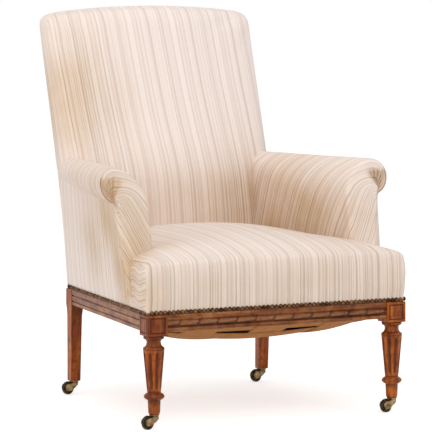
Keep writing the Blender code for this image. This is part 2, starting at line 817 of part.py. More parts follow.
def arm_timber(low, high, start_y, end_y):
    """A board of the arm's frame, against the outside cover, between two heights."""
    def make(sign):
        def place(u, v, w):
            z = lerp(low, high, w)
            y = lerp(start_y(z), end_y(z), v)
            return Vector((sign * (arm_frame_x(y, z) + ARM_FRAME * u), y, z))

        return shaped_block(place)

    return make


def add_arm_frames():
    stump_top = ARM_RAIL_BOTTOM - GAP
    stump = arm_timber(PAD_BOTTOM, stump_top, arm_body_y, lambda z: arm_body_y(z) + STUMP_DEPTH)
    rail = arm_timber(ARM_RAIL_BOTTOM, ARM_UNDER - GAP, arm_body_y, lambda z: post_front_y(z) - GAP)
    for side, sign in SIDES.items():
        add_part(f"{side}_arm_stump", stump(sign), BEECH)
        add_part(f"{side}_arm_rail", rail(sign), BEECH)


# Upholstery of the back

def back_front_y(x, z, grow=0.0):
    """Inside face of the back: padding over the posts, a crown and a swell at the lumbar."""
    crown = 1 - min(1.0, abs(x) / BACK_HALF_WIDTH) ** 2
    swell = LUMBAR_SWELL * math.exp(-((z - LUMBAR_HEIGHT) / LUMBAR_SPREAD) ** 2)
    padding = BACK_PAD_EDGE + (BACK_PAD_CROWN + swell) * crown
    return post_front_y(z) - padding - grow


def back_crown_z(u):
    """Height of the back's top edge at a share of its width."""
    return BACK_SIDE_TOP + BACK_CROWN * (1 - (2 * u - 1) ** 2)


def back_form(grow):
    """Outer shape of the back pad; grow makes the cutter for its neighbours."""
    half = BACK_HALF_WIDTH + grow

    def place(u, v, w):
        x = lerp(-half, half, u)
        z = lerp(PAD_BOTTOM - grow, back_crown_z(u) + grow, w)
        return Vector((x, lerp(back_front_y(x, z, grow), post_rear_y(z) + grow, v), z))

    return shaped_block(place, across=BACK_CUTS_ACROSS, deep=(0.5,), tall=BACK_CUTS_TALL)


def back_slab(reach, front_y, low, high):
    """Cutter with the posts' curve, open to the rear."""
    levels = back_levels(low, high)
    rear = post_rear_y(BACK_TOP) + BACK_PAD_EDGE

    def place(u, v, w):
        z = lerp(low, high, w)
        return Vector((lerp(-reach, reach, u), lerp(front_y(z), rear, v), z))

    return shaped_block(place, tall=shares(levels))


def arm_path(sign):
    """Room that the arm's frame and outside cover need beside the back."""
    low = RAIL_BOTTOM
    high = ARM_UNDER + GAP
    levels = back_levels(low, high)

    def place(u, v, w):
        z = lerp(low, high, w)
        y = lerp(POST_FRONT_Y - POST_DEPTH, post_rear_y(BACK_TOP), v)
        inner = arm_frame_x(y, z) - GAP
        return Vector((sign * (inner + u * BACK_HALF_WIDTH), y, z))

    return shaped_block(place, tall=shares(levels))


def add_back_upholstery():
    pad = add_part("back_pad", back_form(0.0), FABRIC)
    subdivide(pad)
    frame = back_slab(POST_SIDE_X + GAP, lambda z: post_front_y(z) - GAP, RAIL_BOTTOM, CREST_TOP + GAP)
    rear = back_slab(2 * BACK_HALF_WIDTH, lambda z: post_rear_y(z) - GAP, RAIL_BOTTOM, BACK_TOP + BACK_STEP)
    boolean(pad, add_cutter("back_frame_pocket", frame))
    boolean(pad, add_cutter("back_rear_plane", rear))
    for side, sign in SIDES.items():
        boolean(pad, add_cutter(f"{side}_arm_path", arm_path(sign)))
    smooth(pad)
    low = COVER_LINE + GAP
    high = BACK_SIDE_TOP - BACK_COVER_DROP
    levels = back_levels(low, high)

    def place(u, v, w):
        z = back_crown_z(u) - BACK_COVER_DROP if w == 1 else lerp(low, high, w)
        y = post_rear_y(z) + GAP
        half = cover_x(y, z) if z < ARM_UNDER else BACK_HALF_WIDTH - COVER
        return Vector((lerp(-half, half, u), y + COVER * v, z))

    cover = shaped_block(place, across=BACK_CUTS_ACROSS, tall=shares(levels))
    add_part("outside_back", cover, FABRIC)


# Upholstery of the arms

def arm_outline(plane, grow=0.0):
    """Inner face and roll of the arm in a plane across it: from the inner foot to the lip."""
    roll_y = plane(ARM_TOP - ROLL_RADIUS)
    radius = along_arm(roll_y, ROLL_RADIUS, ROLL_RADIUS_REAR)
    overhang = along_arm(roll_y, ROLL_OVERHANG, ROLL_OVERHANG_REAR)
    centre_x = cover_x(roll_y, ARM_UNDER) + overhang - radius
    centre_z = ARM_TOP - radius
    inner = along_arm(roll_y, ARM_INNER_FRONT, ARM_INNER_REAR) - grow
    radius += grow
    roll_start = math.radians(ROLL_START)
    top = (centre_x + radius * math.cos(roll_start), centre_z + radius * math.sin(roll_start))
    bend = (inner, top[1] + (top[0] - inner) / math.tan(roll_start))
    points = [(inner, PAD_BOTTOM), (inner, ARM_KNEE)]
    for i in (1, 2, 3):
        t = i / 4
        points.append(tuple(lerp(lerp(a, b, t), lerp(b, c, t), t)
                            for a, b, c in zip((inner, ARM_KNEE), bend, top)))
    lip_x = cover_x(roll_y, ARM_FRONT_Z) + ROLL_LIP + grow
    end = -math.degrees(math.acos(max(-1.0, min(1.0, (lip_x - centre_x) / radius))))
    return points + arc((centre_x, centre_z), radius, ROLL_START, end, 8)


def on_plane(points, plane, sign):
    return [Vector((sign * x, plane(z), z)) for x, z in points]


def arm_rear_plane(z):
    """Rear end of the arm, inside the side of the back."""
    low = post_front_y(RAIL_TOP)
    high = post_front_y(ARM_TOP)
    return lerp(low, high, share(z, RAIL_TOP, ARM_TOP))


def arm_plane(t):
    """A plane across the arm, at a share of the way from its front to its rear end."""
    return lambda z: lerp(arm_body_y(z), arm_rear_plane(z), t)


def arm_pad_ring(plane, sign):
    """Outline hooked over the arm rail, open to the outside where the wooden frame lies."""
    points = arm_outline(plane)
    lip_z = points[-1][1]

    def clear_of_cover(z):
        return cover_x(plane(z), z) + COVER_CLEAR

    def clear_of_frame(z):
        return arm_frame_x(plane(z), z) - COVER_CLEAR

    points += [(clear_of_cover(lip_z), lip_z), (clear_of_cover(ARM_UNDER), ARM_UNDER)]
    stump_middle = (ARM_RAIL_BOTTOM + PAD_BOTTOM) / 2
    for z in (ARM_UNDER, ARM_RAIL_BOTTOM, stump_middle, PAD_BOTTOM):
        points.append((clear_of_frame(z), z))
    return on_plane(points, plane, sign)


def facing_ring(plane, sign, grow=0.0):
    """Outline of the arm front: the roll above, the cover's edge outside, a tongue in the rabbet."""
    points = arm_outline(plane, grow)
    lip_z = points[-1][1]
    low = COVER_LINE + GAP
    for z in (lip_z, PAD_BOTTOM, low):
        points.append((cover_x(plane(z), z) + grow, z))
    tongue_x = rail_x(plane(low)) - RABBET + GAP
    points += [(tongue_x, low), (tongue_x, PAD_BOTTOM)]
    return on_plane(points, plane, sign)


def arm_clearance(sign):
    """Everything the arm takes up, grown by the clearance, to cut the seat with."""
    far = BACK_HALF_WIDTH

    def ring(plane):
        points = arm_outline(plane, GAP)
        inner = points[0][0]
        outer = points[-1][0] + far
        points += [(outer, points[-1][1]), (outer, RAIL_BOTTOM), (inner, RAIL_BOTTOM)]
        return on_plane(points, plane, sign)

    return loft([ring(lambda z: arm_face_y(z) - GAP), ring(lambda z: arm_rear_plane(z) + POST_DEPTH)])


def add_arm_upholstery():
    back_clearance = add_cutter("back_clearance", back_form(GAP))
    subdivide(back_clearance)
    for side, sign in SIDES.items():
        pad_rings = [arm_pad_ring(arm_plane(i / ARM_SECTIONS), sign) for i in range(ARM_SECTIONS + 1)]
        pad = add_part(f"{side}_arm_pad", loft(pad_rings), FABRIC)
        boolean(pad, back_clearance, skewed=True)
        smooth(pad)
        front = facing_ring(arm_face_y, sign, -FACING_ROUND)
        shoulder = facing_ring(lambda z: arm_face_y(z) + FACING_ROUND, sign)
        rear = facing_ring(lambda z: arm_face_y(z) + FACING, sign)
        smooth(add_part(f"{side}_arm_facing", loft([front, shoulder, rear]), FABRIC))
        low = COVER_LINE + GAP
        high = ARM_UNDER - GAP
        levels = back_levels(low, high)

        def place(u, v, w, sign=sign):
            z = lerp(low, high, w)
            y = lerp(arm_body_y(z), post_rear_y(z), v)
            return Vector((sign * (cover_x(y, z) - COVER * (1 - u)), y, z))

        sheet = shaped_block(place, deep=(0.33, 0.67), tall=shares(levels))
        add_part(f"{side}_outside_arm", sheet, FABRIC)
    return back_clearance


# Upholstery of the seat

def seat_form():
    """Crowned seat whose front and sides belly out above the nails and draw in at the foot."""
    rear_y = POST_FRONT_Y

    def belly(w):
        if w < SEAT_NAIL_SHARE / 2:
            return 0.0
        if w < SEAT_NAIL_SHARE * 1.5:
            return -SEAT_BULGE / 6
        return SEAT_BULGE * (1 - share(w, SEAT_BELLY_SHARE, 1.0) ** 2 * SEAT_TOP_DRAW)

    def place(u, v, w):
        out = belly(w)
        y = lerp(FRONT_FACE_Y - out, rear_y, v)
        x = (2 * u - 1) * (seat_half_width(max(y, 0)) + out)
        crown = (1 - abs(2 * u - 1) ** 3) * (1 - abs(v / SEAT_CROWN_AT - 1) ** 2.2)
        corner = (2 * u - 1) ** 4 * (1 - v) ** 6
        top = SEAT_EDGE + SEAT_CROWN * crown - SEAT_CORNER_FALL * corner
        return Vector((x, y, lerp(COVER_LINE, top, w)))

    return shaped_block(place, across=SEAT_CUTS_ACROSS, deep=SEAT_CUTS_DEEP,
                        tall=(SEAT_NAIL_SHARE, SEAT_BELLY_SHARE, SEAT_SHOULDER_SHARE), crease_foot=True)


def seat_frame_clearance():
    """The rails and leg heads under the seat, with their corners taken off."""
    corner = TENON_SETBACK - GAP
    front = FRONT_RABBET_Y - GAP
    side = rail_x(0) - RABBET + GAP
    rear_y = POST_REAR_Y
    rear = rail_x(rear_y) - RABBET + GAP
    outline = [(side - corner, front), (side, front + corner), (rear, rear_y)]
    outline += [(-x, y) for x, y in reversed(outline)]

    def place(x, y, t):
        return Vector((x, y, lerp(RAIL_BOTTOM, PAD_BOTTOM, t)))

    return prism(outline, place)


def well_half_width(y):
    return along_arm(y, ARM_INNER_FRONT, ARM_INNER_REAR) - WELL_WALL


def well_block(low, high, inset):
    """The hollow over the springs, or a sheet lying in it."""
    def place(u, v, w):
        y = lerp(WELL_FRONT + inset, WELL_REAR - inset, v)
        return Vector(((2 * u - 1) * (well_half_width(y) - inset), y, lerp(low, high, w)))

    return shaped_block(place)


def add_seat_upholstery(back_clearance):
    pad = add_part("seat_pad", seat_form(), FABRIC)
    subdivide(pad)
    boolean(pad, add_cutter("seat_frame_clearance", seat_frame_clearance()))
    boolean(pad, add_cutter("spring_well", well_block(RAIL_BOTTOM, WELL_TOP, 0.0)))
    for side, sign in SIDES.items():
        boolean(pad, add_cutter(f"{side}_arm_clearance", arm_clearance(sign)))
    boolean(pad, back_clearance)
    smooth(pad)
    add_part("spring_hessian", well_block(HESSIAN_UNDER, WELL_TOP - GAP, GAP * 3), HESSIAN_CLOTH)


def webbing_lines(length, count, pitch):
    """Shares of the length at which the straps of one direction begin and end."""
    lines = [0.0]
    for i in range(count):
        centre = length / 2 + pitch * (i - (count - 1) / 2)
        lines += [centre - STRAP_WIDTH / 2, centre + STRAP_WIDTH / 2]
    return [line / length for line in lines + [length]]


WEB_FRONT = FRONT_RAIL_INNER_Y - WEB_TACK
WEB_REAR = REAR_RAIL_INNER_Y + WEB_TACK
WEB_ROWS = webbing_lines(WEB_REAR - WEB_FRONT, CROSS_STRAPS, CROSS_STRAP_PITCH)
WEB_COLUMNS = webbing_lines(2 * rail_x((WEB_FRONT + WEB_REAR) / 2), LONG_STRAPS, LONG_STRAP_PITCH)


def web_half_width(y):
    return rail_x(y) - RAIL_THICK + WEB_TACK


def web_node(column, row):
    """Crossing point of the straps' edges on the sagging webbing."""
    y = lerp(WEB_FRONT, WEB_REAR, WEB_ROWS[row])
    x = lerp(-web_half_width(y), web_half_width(y), WEB_COLUMNS[column])
    return Vector((x, y, web_height(x, y)))


def strap_height(x, y):
    """Height of the straps' flat stretches between those points."""
    v = share(y, WEB_FRONT, WEB_REAR)
    u = share(x, -web_half_width(y), web_half_width(y))
    row = max(i for i, line in enumerate(WEB_ROWS[:-1]) if line <= v)
    column = max(i for i, line in enumerate(WEB_COLUMNS[:-1]) if line <= u)
    s = share(u, WEB_COLUMNS[column], WEB_COLUMNS[column + 1])
    t = share(v, WEB_ROWS[row], WEB_ROWS[row + 1])
    near = lerp(web_node(column, row).z, web_node(column + 1, row).z, s)
    far = lerp(web_node(column, row + 1).z, web_node(column + 1, row + 1).z, s)
    return lerp(near, far, t)


def spring_points(x, y):
    """Waisted coil standing on the webbing under the hessian."""
    ring = [math.pi * i / SPRING_POINTS for i in range(2 * SPRING_POINTS)]
    reach = SPRING_RADIUS + SPRING_WIRE
    seat = max(strap_height(x + reach * math.cos(a), y + reach * math.sin(a)) for a in ring)
    low = seat + COVER_CLEAR + SPRING_WIRE
    high = HESSIAN_UNDER - GAP - SPRING_WIRE
    count = SPRING_TURNS * SPRING_POINTS
    points = []
    for i in range(count + 1):
        t = i / count
        angle = 2 * math.pi * i / SPRING_POINTS
        radius = SPRING_WAIST + (SPRING_RADIUS - SPRING_WAIST) * (2 * t - 1) ** 2
        points.append(Vector((x + radius * math.cos(angle), y + radius * math.sin(angle), lerp(low, high, t))))
    return points


def least_coil_gap(points):
    """Smallest clear distance between neighbouring turns of one coil."""
    half_turn = SPRING_POINTS // 2
    gaps = []
    for i, first in enumerate(points):
        gaps += [(second - first).length for second in points[i + half_turn:]]
    return min(gaps) - 2 * SPRING_WIRE


def add_springs():
    number = 0
    for row in (0, 1, 2):
        for column in (-1, 0, 1):
            number += 1
            points = spring_points(SPRING_COLUMN_PITCH * column, SPRING_FIRST_ROW + SPRING_ROW_PITCH * row)
            curve = bpy.data.curves.new("coil", "CURVE")
            curve.dimensions = "3D"
            curve.bevel_depth = SPRING_WIRE
            curve.bevel_resolution = 1
            curve.use_fill_caps = True
            spline = curve.splines.new("POLY")
            spline.points.add(len(points) - 1)
            for point, place in zip(spline.points, points):
                point.co = (*place, 1)
            coil = bpy.data.objects.new("coil", curve)
            CUTTERS.objects.link(coil)
            spring = add_part(f"seat_spring_{number}", finished_mesh(coil), STEEL)
            smooth(spring)
            print(f"seat_spring_{number} least gap between turns {least_coil_gap(points) * 1000:.1f} mm")


def add_webbing():
    """Straps tacked under the rails, joined where they cross, sagging under the springs."""
    columns = len(WEB_COLUMNS) - 1
    rows = len(WEB_ROWS) - 1
    body = bmesh.new()
    bmesh.ops.create_grid(body, x_segments=columns, y_segments=rows, size=0.5)
    bare = []
    for face in body.faces:
        middle = face.calc_center_median() + Vector((0.5, 0.5, 0))
        if int(middle.x * columns) % 2 == 0 and int(middle.y * rows) % 2 == 0:
            bare.append(face)
    bmesh.ops.delete(body, geom=bare, context="FACES")
    for vert in body.verts:
        vert.co = web_node(round((vert.co.x + 0.5) * columns), round((vert.co.y + 0.5) * rows))
    body.normal_update()
    if sum(face.normal.z for face in body.faces) < 0:
        bmesh.ops.reverse_faces(body, faces=body.faces)
    mesh = bpy.data.meshes.new("webbing")
    body.to_mesh(mesh)
    body.free()
    webbing = add_part("seat_webbing", mesh, WEBBING)
    shell = webbing.modifiers.new("thickness", "SOLIDIFY")
    shell.thickness = WEB_THICK
    shell.offset = -1.0


# Nails

def nail_row(start, end, outward):
    """Close-set domed heads in a line, joined by the edge of the cover that they pin."""
    length = (end - start).length
    count = int(length / NAIL_PITCH)
    cuts = [i / (2 * count) for i in range(1, 2 * count)]

    def place(u, v, w):
        on_head = abs((u * count) % 1 - 0.5) < 0.25
        height = NAIL_DIAMETER if on_head else NAIL_LINK
        proud = NAIL_PROUD if on_head else NAIL_LINK / 2
        rise = height * (w - 0.5) * (1 - NAIL_TAPER * v)
        return start + (end - start) * u + outward * proud * v + Vector((0, 0, rise))

    return shaped_block(place, across=cuts)


def add_nails():
    z = COVER_LINE + GAP + NAIL_DIAMETER / 2
    corner = TENON_SETBACK / 2
    front_y = FRONT_FACE_Y - NAIL_SEAT
    reach = rail_x(0) - corner
    row = nail_row(Vector((-reach, front_y, z)), Vector((reach, front_y, z)), Vector((0, -1, 0)))
    add_part("front_nail_row", row, BRASS)
    low_y = FRONT_FACE_Y + corner
    high_y = post_rear_y(z) - corner
    for side, sign in SIDES.items():
        start = Vector((sign * (rail_x(low_y) + NAIL_SEAT * 2), low_y, z))
        end = Vector((sign * (rail_x(high_y) + NAIL_SEAT * 2), high_y, z))
        outward = Vector((sign * (end - start).y, abs((end - start).x), 0)).normalized()
        add_part(f"{side}_nail_row", nail_row(start, end, outward), BRASS)


def centre_chair():
    """Move the chair so that the middle of its depth is at the origin."""
    front = FRONT_FACE_Y - SEAT_BULGE
    rear = post_rear_y(back_crown_z(0.5) - BACK_COVER_DROP) + GAP + COVER
    CHAIR.location.y = -(front + rear) / 2


add_casters()
add_front_legs()
add_rear_posts()
add_seat_rails()
add_corner_braces()
add_back_rails()
add_arm_frames()
add_back_upholstery()
add_seat_upholstery(add_arm_upholstery())
add_springs()
add_webbing()
add_nails()
centre_chair()
bpy.context.view_layer.update()
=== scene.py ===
import math

import bmesh
import bpy
from mathutils import Matrix, Vector, noise


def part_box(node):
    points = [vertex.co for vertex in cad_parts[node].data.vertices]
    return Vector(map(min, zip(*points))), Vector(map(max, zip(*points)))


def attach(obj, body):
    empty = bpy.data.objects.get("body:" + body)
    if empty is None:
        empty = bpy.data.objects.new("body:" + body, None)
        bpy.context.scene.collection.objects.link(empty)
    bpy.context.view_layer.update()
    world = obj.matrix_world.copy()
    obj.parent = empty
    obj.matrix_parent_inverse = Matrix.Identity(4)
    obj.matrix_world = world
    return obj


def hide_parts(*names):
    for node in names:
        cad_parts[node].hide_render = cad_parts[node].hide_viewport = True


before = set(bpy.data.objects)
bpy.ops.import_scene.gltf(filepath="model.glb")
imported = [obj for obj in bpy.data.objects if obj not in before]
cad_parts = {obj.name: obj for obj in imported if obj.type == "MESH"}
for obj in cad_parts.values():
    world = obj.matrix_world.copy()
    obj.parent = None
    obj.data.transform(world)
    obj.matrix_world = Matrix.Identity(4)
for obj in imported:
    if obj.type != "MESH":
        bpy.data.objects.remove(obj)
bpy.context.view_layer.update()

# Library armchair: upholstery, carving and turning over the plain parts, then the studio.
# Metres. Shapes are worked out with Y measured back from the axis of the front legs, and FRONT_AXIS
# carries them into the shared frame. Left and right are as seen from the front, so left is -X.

SIDES = {"left": -1, "right": 1}

# Frame sizes that the covers follow
LEG_LOW, LEG_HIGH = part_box("front_left_leg")
FRONT_AXIS = (LEG_LOW.y + LEG_HIGH.y) / 2
FRONT_LEG_X = 0.310
BLOCK = 0.050
FRONT_FACE_Y = -0.021
POST_FRONT_Y = 0.594
POST_REAR_Y = 0.630
COVER_LINE = 0.2665
RAIL_BOTTOM = 0.227
RAIL_TOP = 0.295
RAIL_THICK = 0.026
REAR_RAIL_THICK = 0.028
RAIL_X_FRONT = 0.334
RAIL_X_REAR = 0.2765
BEAD_HEIGHT = 0.010

# Back
BACK_TOP = 0.967
BACK_LEAN = -0.020
BACK_SWEEP = 0.350
BACK_RETURN = 0.165
BACK_HALF_WIDTH = 0.285
BACK_SIDE_TOP = 0.948
BACK_CROWN = 0.019
BACK_PAD_EDGE = 0.026
BACK_PAD_CROWN = 0.022
BACK_WAIST = 0.240
BACK_SHOULDERS = (0.515, 0.548)
LUMBAR_HEIGHT = 0.555
LUMBAR_SWELL = 0.026
LUMBAR_SPREAD = 0.110
POST_DEPTH = 0.036
POST_DEPTH_TOP = 0.026

# Panels of the outside back and the outside arms
PANEL_BOTTOM = COVER_LINE + 0.001
PANEL_THICK = 0.005
PANEL_PILLOW = {"back": 0.0020, "arm": 0.0025}
COVER_GAP = 0.0003

# Arms
ARM_TOP = 0.599
ARM_UNDER = 0.5455
ARM_FRONT_Y = 0.140
ARM_FRONT_Z = 0.513
ARM_FRONT_SLOPE = 0.26
ARM_REAR_Y = 0.630
ARM_INNER = (0.262, 0.212)
ARM_FLARE = (0.029, 0.013)
ARM_KNEE = 0.470
ROLL_RADIUS = (0.040, 0.036)
ROLL_OVERHANG = (0.031, 0.006)
ROLL_LIP = 0.003
ROLL_START = 120
FACING = 0.018
FACING_ROUND = 0.009
ARM_REAR_DROP = 0.005
PLEATS = 6
PLEAT_DEPTH = 0.0048
PLEAT_TOP = 0.572
SCROLL_SINK = 0.008
ROLL_DROOP = 0.007
DROOP_LENGTH = 0.25
GATHER_IN = 0.003
GATHER_UP = 0.006
FACING_PILLOW = 0.007
REAR_PILLOW = 0.003
STRIPE_SLANT = (0.52, 0.22)
ROLL_SLANT_SHARE = 0.25
BACK_STRIPE_LEAN = 0.05
FACING_GATHER = 1.65
ROUND_GATHER = 1.25

# Seat
SEAT_EDGE = 0.392
SEAT_CROWN = 0.040
SEAT_CROWN_AT = 0.6
SEAT_CORNER_FALL = 0.008
SEAT_BULGE = 0.008
SEAT_UNDER_ARM = 0.014
EAR_FROM = 0.026
EAR_TO = 0.060
WELL_TOP = 0.346
SEAT_HELD_BELOW = 0.30
SEAT_HELD_BEHIND = 0.50
HELD_BELOW = 0.42
CHEVRON_PITCH = 0.090
CHEVRON_RISE = 0.004

# Webbing
LONG_STRAPS = 3
LONG_PITCH = 0.180
CROSS_STRAPS = 5
CROSS_PITCH = 0.108
CROSS_SHIFT = 0.018
LONG_WIDTH = 0.090
CROSS_WIDTH = 0.107
FOLDED_WIDTH = 0.047
STRAP_WAIST = 0.058
STRAP_BOW = 0.0022
WEAVE_LIFT = 0.0022
WEB_THICK = 0.002
WEB_SAG = 0.0502
WEB_FRONT = FRONT_FACE_Y + RAIL_THICK
WEB_REAR = POST_REAR_Y - REAR_RAIL_THICK
TACK_LAP = 0.014
STRAP_THICK = 0.0016
STRAP_TAPER = 0.90
FOLDED_LIFT = 0.0014
CROSS_LAP = 0.012
FOLDED_THICK = 0.0010
HESSIAN_THICK = 0.0010
HESSIAN_IN = 0.011
HESSIAN_PRESS = 0.0008
SPRING_PITCH = (0.150, 0.160)
SPRING_START_Y = 0.13

# Nails
NAIL_PITCH = 0.0108
NAIL_RADIUS = 0.0055
NAIL_PROUD = 0.0038
NAIL_SIDES = 12
NAIL_STRAY = (0.0004, 0.0007, 0.0003)
NAIL_SEED = 3
NAIL_LAP = 0.0004
NAIL_ROW_END = 0.008
# Band above the cover line where the nails' shadow is painted on the cloth
NAIL_SHADOW_BAND = (0.0045, 0.0080)


def lerp(a, b, t):
    return a + (b - a) * t


def share(value, low, high):
    return (value - low) / (high - low)


def ease(value, low, high):
    t = min(1.0, max(0.0, share(value, low, high)))
    return t * t * (3 - 2 * t)


# Shapes shared by the covers

def post_rear_y(z):
    s = max(0.0, share(z, COVER_LINE, BACK_TOP))
    return POST_REAR_Y + BACK_LEAN * s + BACK_SWEEP * s ** 2 - BACK_RETURN * s ** 3


def post_front_y(z):
    s = max(0.0, share(z, COVER_LINE, BACK_TOP))
    return post_rear_y(z) - lerp(POST_DEPTH, POST_DEPTH_TOP, s)


def rail_x(y):
    return lerp(RAIL_X_FRONT, RAIL_X_REAR, share(y, BLOCK / 2, POST_FRONT_Y))


def along_arm(y, ends):
    return lerp(ends[0], ends[1], share(y, ARM_FRONT_Y, ARM_REAR_Y))


def cover_x(y, z):
    """Outer face of the outside arm, flush with the rail and flared under the roll."""
    return rail_x(y) + along_arm(y, ARM_FLARE) * share(z, COVER_LINE, ARM_UNDER)


def arm_face_y(z):
    return ARM_FRONT_Y + ARM_FRONT_SLOPE * (z - ARM_FRONT_Z)


def arm_rear_y(z):
    return lerp(post_front_y(RAIL_TOP), post_front_y(ARM_TOP), share(z, RAIL_TOP, ARM_TOP))


def back_front_y(x, z):
    crown = 1 - min(1.0, abs(x) / BACK_HALF_WIDTH) ** 2
    swell = LUMBAR_SWELL * math.exp(-((z - LUMBAR_HEIGHT) / LUMBAR_SPREAD) ** 2)
    return post_front_y(z) - BACK_PAD_EDGE - (BACK_PAD_CROWN + swell) * crown


def web_height(x, y):
    """Underside of the sagging webbing, tacked flat under the rails."""
    across = min(1.0, abs(x) / (rail_x(y) - RAIL_THICK))
    along = min(1.0, abs(2 * share(y, WEB_FRONT, WEB_REAR) - 1))
    return RAIL_BOTTOM - WEB_THICK - WEB_SAG * (1 - across ** 3) * (1 - along ** 3)


# Making pieces

def show(thing):
    bpy.context.scene.collection.objects.link(thing)


def add_piece(name, body, material, carried_by="chair"):
    """Turns a bmesh made in the chair's own frame into a piece that rides with a body."""
    bmesh.ops.recalc_face_normals(body, faces=body.faces)
    mesh = bpy.data.meshes.new(name)
    body.to_mesh(mesh)
    body.free()
    mesh.transform(Matrix.Translation((0, FRONT_AXIS, 0)))
    mesh.shade_smooth()
    mesh.materials.append(material)
    piece = bpy.data.objects.new(name, mesh)
    show(piece)
    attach(piece, carried_by)
    return piece


def shaped_block(place, across=(), deep=(), tall=()):
    """A cube cut at the given shares of its width, depth and height, its points moved by place."""
    body = bmesh.new()
    bmesh.ops.create_cube(body, size=1.0, matrix=Matrix.Translation((0.5, 0.5, 0.5)))
    for axis, cuts in enumerate((across, deep, tall)):
        normal = Vector((axis == 0, axis == 1, axis == 2))
        for cut in cuts:
            geometry = body.verts[:] + body.edges[:] + body.faces[:]
            bmesh.ops.bisect_plane(body, geom=geometry, plane_co=normal * cut, plane_no=normal)
    for vert in body.verts:
        vert.co = place(*vert.co)
    return body


def grid(columns, rows, place, ring=False):
    """A skin of points given by column and row; ring joins the last column to the first."""
    body = bmesh.new()
    verts = [[body.verts.new(place(i, j)) for i in range(columns)] for j in range(rows)]
    count = columns if ring else columns - 1
    for j in range(rows - 1):
        for i in range(count):
            k = (i + 1) % columns
            body.faces.new((verts[j][i], verts[j][k], verts[j + 1][k], verts[j + 1][i]))
    return body


def join(body, other):
    """Adds one bmesh to another and frees it."""
    mesh = bpy.data.meshes.new("joined")
    other.to_mesh(mesh)
    other.free()
    body.from_mesh(mesh)
    bpy.data.meshes.remove(mesh)


def even(count):
    """Cuts that share a side into equal lengths."""
    return [i / count for i in range(1, count)]


def bake(piece):
    """Replaces a piece's mesh by what its modifiers make of it."""
    bpy.context.view_layer.update()
    evaluated = piece.evaluated_get(bpy.context.evaluated_depsgraph_get())
    mesh = bpy.data.meshes.new_from_object(evaluated)
    mesh.name = piece.name
    piece.modifiers.clear()
    piece.data = mesh


def thicken(piece, thickness):
    """Gives a flat skin its thickness and returns the area that it had."""
    area = sum(face.area for face in piece.data.polygons)
    shell = piece.modifiers.new("thickness", "SOLIDIFY")
    shell.thickness = thickness
    shell.offset = 0.0
    bake(piece)
    return area


def subdivide(piece, levels, numbers=()):
    """Subdivides a piece; up to three numbers stored on its points are smoothed along with it."""
    twin = None
    if numbers:
        layers = [piece.data.attributes[name].data for name in numbers]
        twin = bpy.data.objects.new("numbers", piece.data.copy())
        show(twin)
        for vert in twin.data.vertices:
            for axis, layer in enumerate(layers):
                vert.co[axis] = layer[vert.index].value
    for target in filter(None, (piece, twin)):
        modifier = target.modifiers.new("soften", "SUBSURF")
        modifier.levels = levels
        modifier.render_levels = levels
        bake(target)
    for axis, name in enumerate(numbers):
        layer = piece.data.attributes[name].data
        for vert in twin.data.vertices:
            layer[vert.index].value = vert.co[axis]
    if twin:
        bpy.data.objects.remove(twin)


def bevel(piece, width, segments=2):
    modifier = piece.modifiers.new("worn_edges", "BEVEL")
    modifier.width = width
    modifier.segments = segments
    modifier.limit_method = "ANGLE"
    modifier.angle_limit = math.radians(35)
    modifier.harden_normals = False


def chair_point(vert):
    """A point of a piece, measured from the axis of the front legs."""
    return Vector((vert.co.x, vert.co.y - FRONT_AXIS, vert.co.z))


FILLING_FRAMES = 20
FILLING = {"quality": 6, "mass": 0.35, "tension_stiffness": 25, "compression_stiffness": 25,
           "bending_stiffness": 2.0, "use_pressure": True, "uniform_pressure_force": 4.0}


def puff(piece, is_pinned, cap=0.004):
    """Lets the filling push the cover out, up to a cap, between the places where it is held."""
    scene = bpy.context.scene
    rest = [vert.co.copy() for vert in piece.data.vertices]
    group = piece.vertex_groups.new(name="held")
    held = [vert.index for vert in piece.data.vertices if is_pinned(chair_point(vert))]
    group.add(held, 1.0, "REPLACE")
    cloth = piece.modifiers.new("filling", "CLOTH")
    for setting, value in FILLING.items():
        setattr(cloth.settings, setting, value)
    cloth.settings.vertex_group_mass = group.name
    cloth.settings.effector_weights.gravity = 0.0
    cloth.collision_settings.use_collision = False
    cloth.point_cache.frame_start = 1
    cloth.point_cache.frame_end = FILLING_FRAMES
    for step in range(1, FILLING_FRAMES + 1):
        scene.frame_set(step)
    evaluated = piece.evaluated_get(bpy.context.evaluated_depsgraph_get())
    moved = [vert.co.copy() for vert in evaluated.data.vertices]
    piece.modifiers.remove(cloth)
    piece.vertex_groups.remove(group)
    scene.frame_set(1)
    for vert, old, new in zip(piece.data.vertices, rest, moved):
        shift = new - old
        if shift.length > cap:
            shift *= cap / shift.length
        vert.co = old + shift
    piece.data.update()


def store(piece, name, measure):
    """Keeps a number for every point of a piece, for its material to read."""
    layer = piece.data.attributes.new(name, "FLOAT", "POINT")
    for vert, value in zip(piece.data.vertices, layer.data):
        value.value = measure(chair_point(vert))


def lay_cloth(piece, across):
    """Stores how far across the striped cloth each point lies, and how stained it is there, with painted
    shade in places.
    """
    store(piece, "stripe", across)
    store(piece, "stain_and_shade", stain_and_shade)


def painted_nail_shadow(p):
    """Painted shadow of the nails on the cloth's edge between them."""
    return 1 - ease(p.z, COVER_LINE + NAIL_SHADOW_BAND[0], COVER_LINE + NAIL_SHADOW_BAND[1])


# Materials

def linear(red, green, blue):
    """A screen colour as the shader counts it."""
    def channel(value):
        value /= 255
        return value / 12.92 if value <= 0.04045 else ((value + 0.055) / 1.055) ** 2.4

    return (channel(red), channel(green), channel(blue), 1.0)


